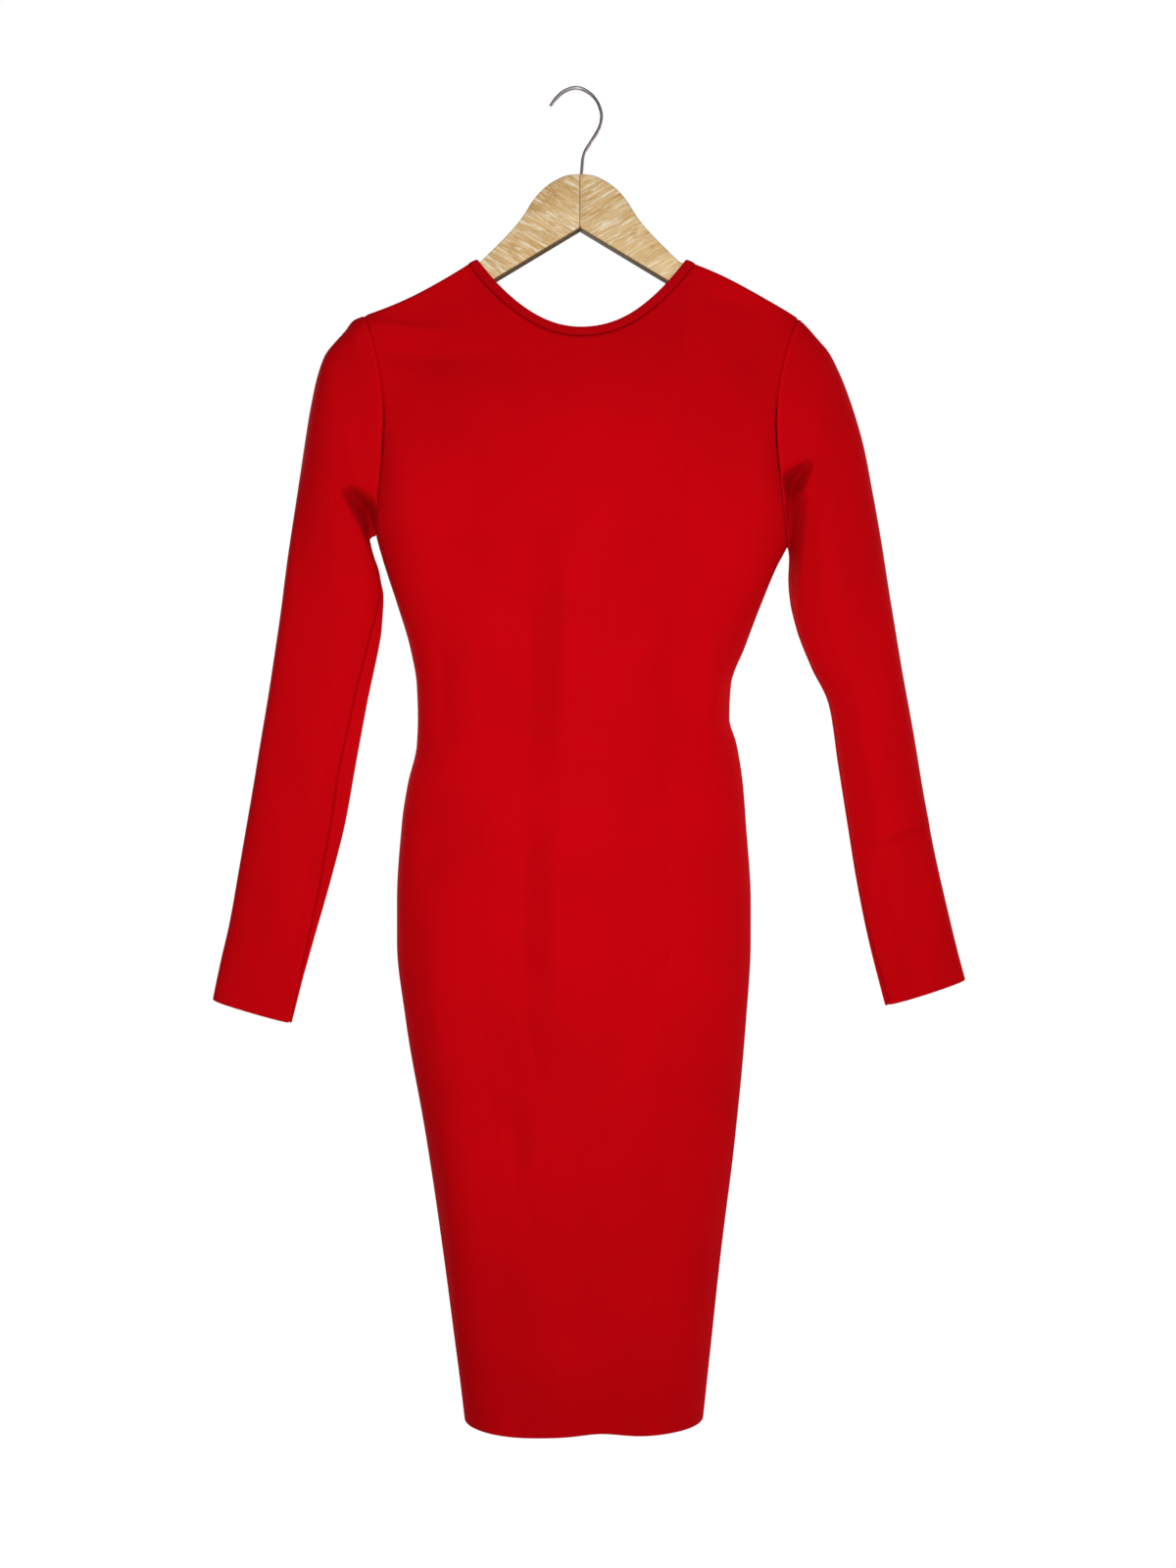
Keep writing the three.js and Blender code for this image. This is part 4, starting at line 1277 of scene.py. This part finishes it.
def add_world(studio):
    """Surroundings that look white and give soft light."""
    world = bpy.data.worlds.new("studio")
    bpy.context.scene.world = world
    world.use_nodes = True
    tree = world.node_tree
    tree.nodes.clear()
    output = tree.nodes.new("ShaderNodeOutputWorld")
    mix = tree.nodes.new("ShaderNodeMixShader")
    seen = add_node(tree, "ShaderNodeLightPath")
    lights, shows = (
        add_node(tree, "ShaderNodeBackground", sockets={"Color": (1, 1, 1, 1), "Strength": strength})
        for strength in (studio.ambient, studio.backdrop)
    )
    tree.links.new(seen.outputs["Is Camera Ray"], mix.inputs["Fac"])
    tree.links.new(lights.outputs["Background"], mix.inputs[1])
    tree.links.new(shows.outputs["Background"], mix.inputs[2])
    tree.links.new(mix.outputs["Shader"], output.inputs["Surface"])


def add_floor():
    """A pale floor below the photograph's frame."""
    bpy.ops.mesh.primitive_cylinder_add(
        vertices=FLOOR_SIDES, radius=FLOOR_RADIUS, depth=FLOOR_DEPTH, location=(0, 0, FLOOR_Z))
    floor = bpy.context.object
    floor.name = "studio_floor"
    material, tree, shader = nodes_of("studio_floor_matte")
    place = add_node(tree, "ShaderNodeTexCoord").outputs["Object"]
    colour = add_ramp(tree, add_noise(tree, place, 30, 4), ((0.3, grey(0.78)), (0.7, grey(0.82))))
    tree.links.new(colour, shader.inputs["Base Color"])
    set_sockets(shader, {"Roughness": 0.9})
    floor.data.materials.append(material)


def add_camera():
    """The camera at the photograph's place, level and square to the dress."""
    data = bpy.data.cameras.new("photograph")
    data.lens = CAMERA_LENS
    camera = bpy.data.objects.new("photograph", data)
    camera.location = CAMERA_PLACE
    camera.rotation_euler = (math.pi / 2, 0, 0)
    bpy.context.collection.objects.link(camera)
    bpy.context.scene.camera = camera


class DRESS_OT_studio(bpy.types.Operator):
    """Set up the plain studio: camera, soft lights, white surroundings and a pale floor"""

    bl_idname = "dress.studio"
    bl_label = "Studio"

    def execute(self, context):
        studio = context.scene.dress_studio
        context.scene.view_settings.view_transform = "Standard"
        add_camera()
        add_world(studio)
        add_floor()
        for name, (place, size, power) in LIGHTS.items():
            add_light(name, place, size, getattr(studio, power))
        return {"FINISHED"}


class DRESS_OT_front_and_back(bpy.types.Operator):
    """Knit the front and the back of the dress"""

    bl_idname = "dress.front_and_back"
    bl_label = "Front and Back"

    def execute(self, context):
        cloth = context.scene.dress_cloth
        material = knit_material("red_knit_cloth", cloth, cloth.red, cloth.deep_red)
        for side in (FRONT, BACK):
            add_panel(side, cloth, material)
        return {"FINISHED"}


class DRESS_OT_sleeves(bpy.types.Operator):
    """Knit the two sleeves"""

    bl_idname = "dress.sleeves"
    bl_label = "Sleeves"

    def execute(self, context):
        cloth = context.scene.dress_cloth
        material = bpy.data.materials["red_knit_cloth"]
        for arm in (LEFT, RIGHT):
            add_sleeve(arm, cloth, material)
        return {"FINISHED"}


class DRESS_OT_neck_binding(bpy.types.Operator):
    """Bind the neck opening"""

    bl_idname = "dress.neck_binding"
    bl_label = "Neck Binding"

    def execute(self, context):
        cloth = context.scene.dress_cloth
        material = knit_material("red_binding_cloth", cloth, cloth.band_red, cloth.band_deep_red)
        add_neck_binding(cloth, material)
        return {"FINISHED"}


class DRESS_OT_hanger(bpy.types.Operator):
    """Make the two wooden arms of the hanger"""

    bl_idname = "dress.hanger"
    bl_label = "Hanger Arms"

    def execute(self, context):
        for arm in (LEFT, RIGHT):
            add_hanger_half(arm, context.scene.dress_hanger)
        return {"FINISHED"}


class DRESS_OT_hook(bpy.types.Operator):
    """Bend the wire hook"""

    bl_idname = "dress.hook"
    bl_label = "Hook"

    def execute(self, context):
        add_hook(context.scene.dress_hanger)
        return {"FINISHED"}


OPERATORS = (
    DRESS_OT_studio,
    DRESS_OT_front_and_back,
    DRESS_OT_sleeves,
    DRESS_OT_neck_binding,
    DRESS_OT_hanger,
    DRESS_OT_hook,
)


class DRESS_PT_pieces(bpy.types.Panel):
    """Lists the pieces of the dress"""

    bl_label = "Dress"
    bl_space_type = "VIEW_3D"
    bl_region_type = "UI"
    bl_category = "Dress"

    def draw(self, context):
        for operator in OPERATORS:
            self.layout.operator(operator.bl_idname)


# Where each group of settings hangs on the scene
GROUPS = {
    "dress_cloth": DRESS_PG_cloth,
    "dress_hanger": DRESS_PG_hanger,
    "dress_studio": DRESS_PG_studio,
}


CLASSES = (*GROUPS.values(), *OPERATORS, DRESS_PT_pieces)


def register():
    """Register the add-on's classes and settings."""
    for cls in CLASSES:
        bpy.utils.register_class(cls)
    for name, group in GROUPS.items():
        setattr(bpy.types.Scene, name, bpy.props.PointerProperty(type=group))


def unregister():
    """Take the add-on's settings and classes out again."""
    for name in GROUPS:
        delattr(bpy.types.Scene, name)
    for cls in reversed(CLASSES):
        bpy.utils.unregister_class(cls)


def main():
    """Make every piece in order."""
    register()
    bpy.ops.object.select_all(action="DESELECT")
    bpy.ops.dress.studio()
    bpy.ops.dress.front_and_back()
    bpy.ops.dress.sleeves()
    bpy.ops.dress.neck_binding()
    bpy.ops.dress.hanger()
    bpy.ops.dress.hook()


if __name__ == "__main__":
    main()
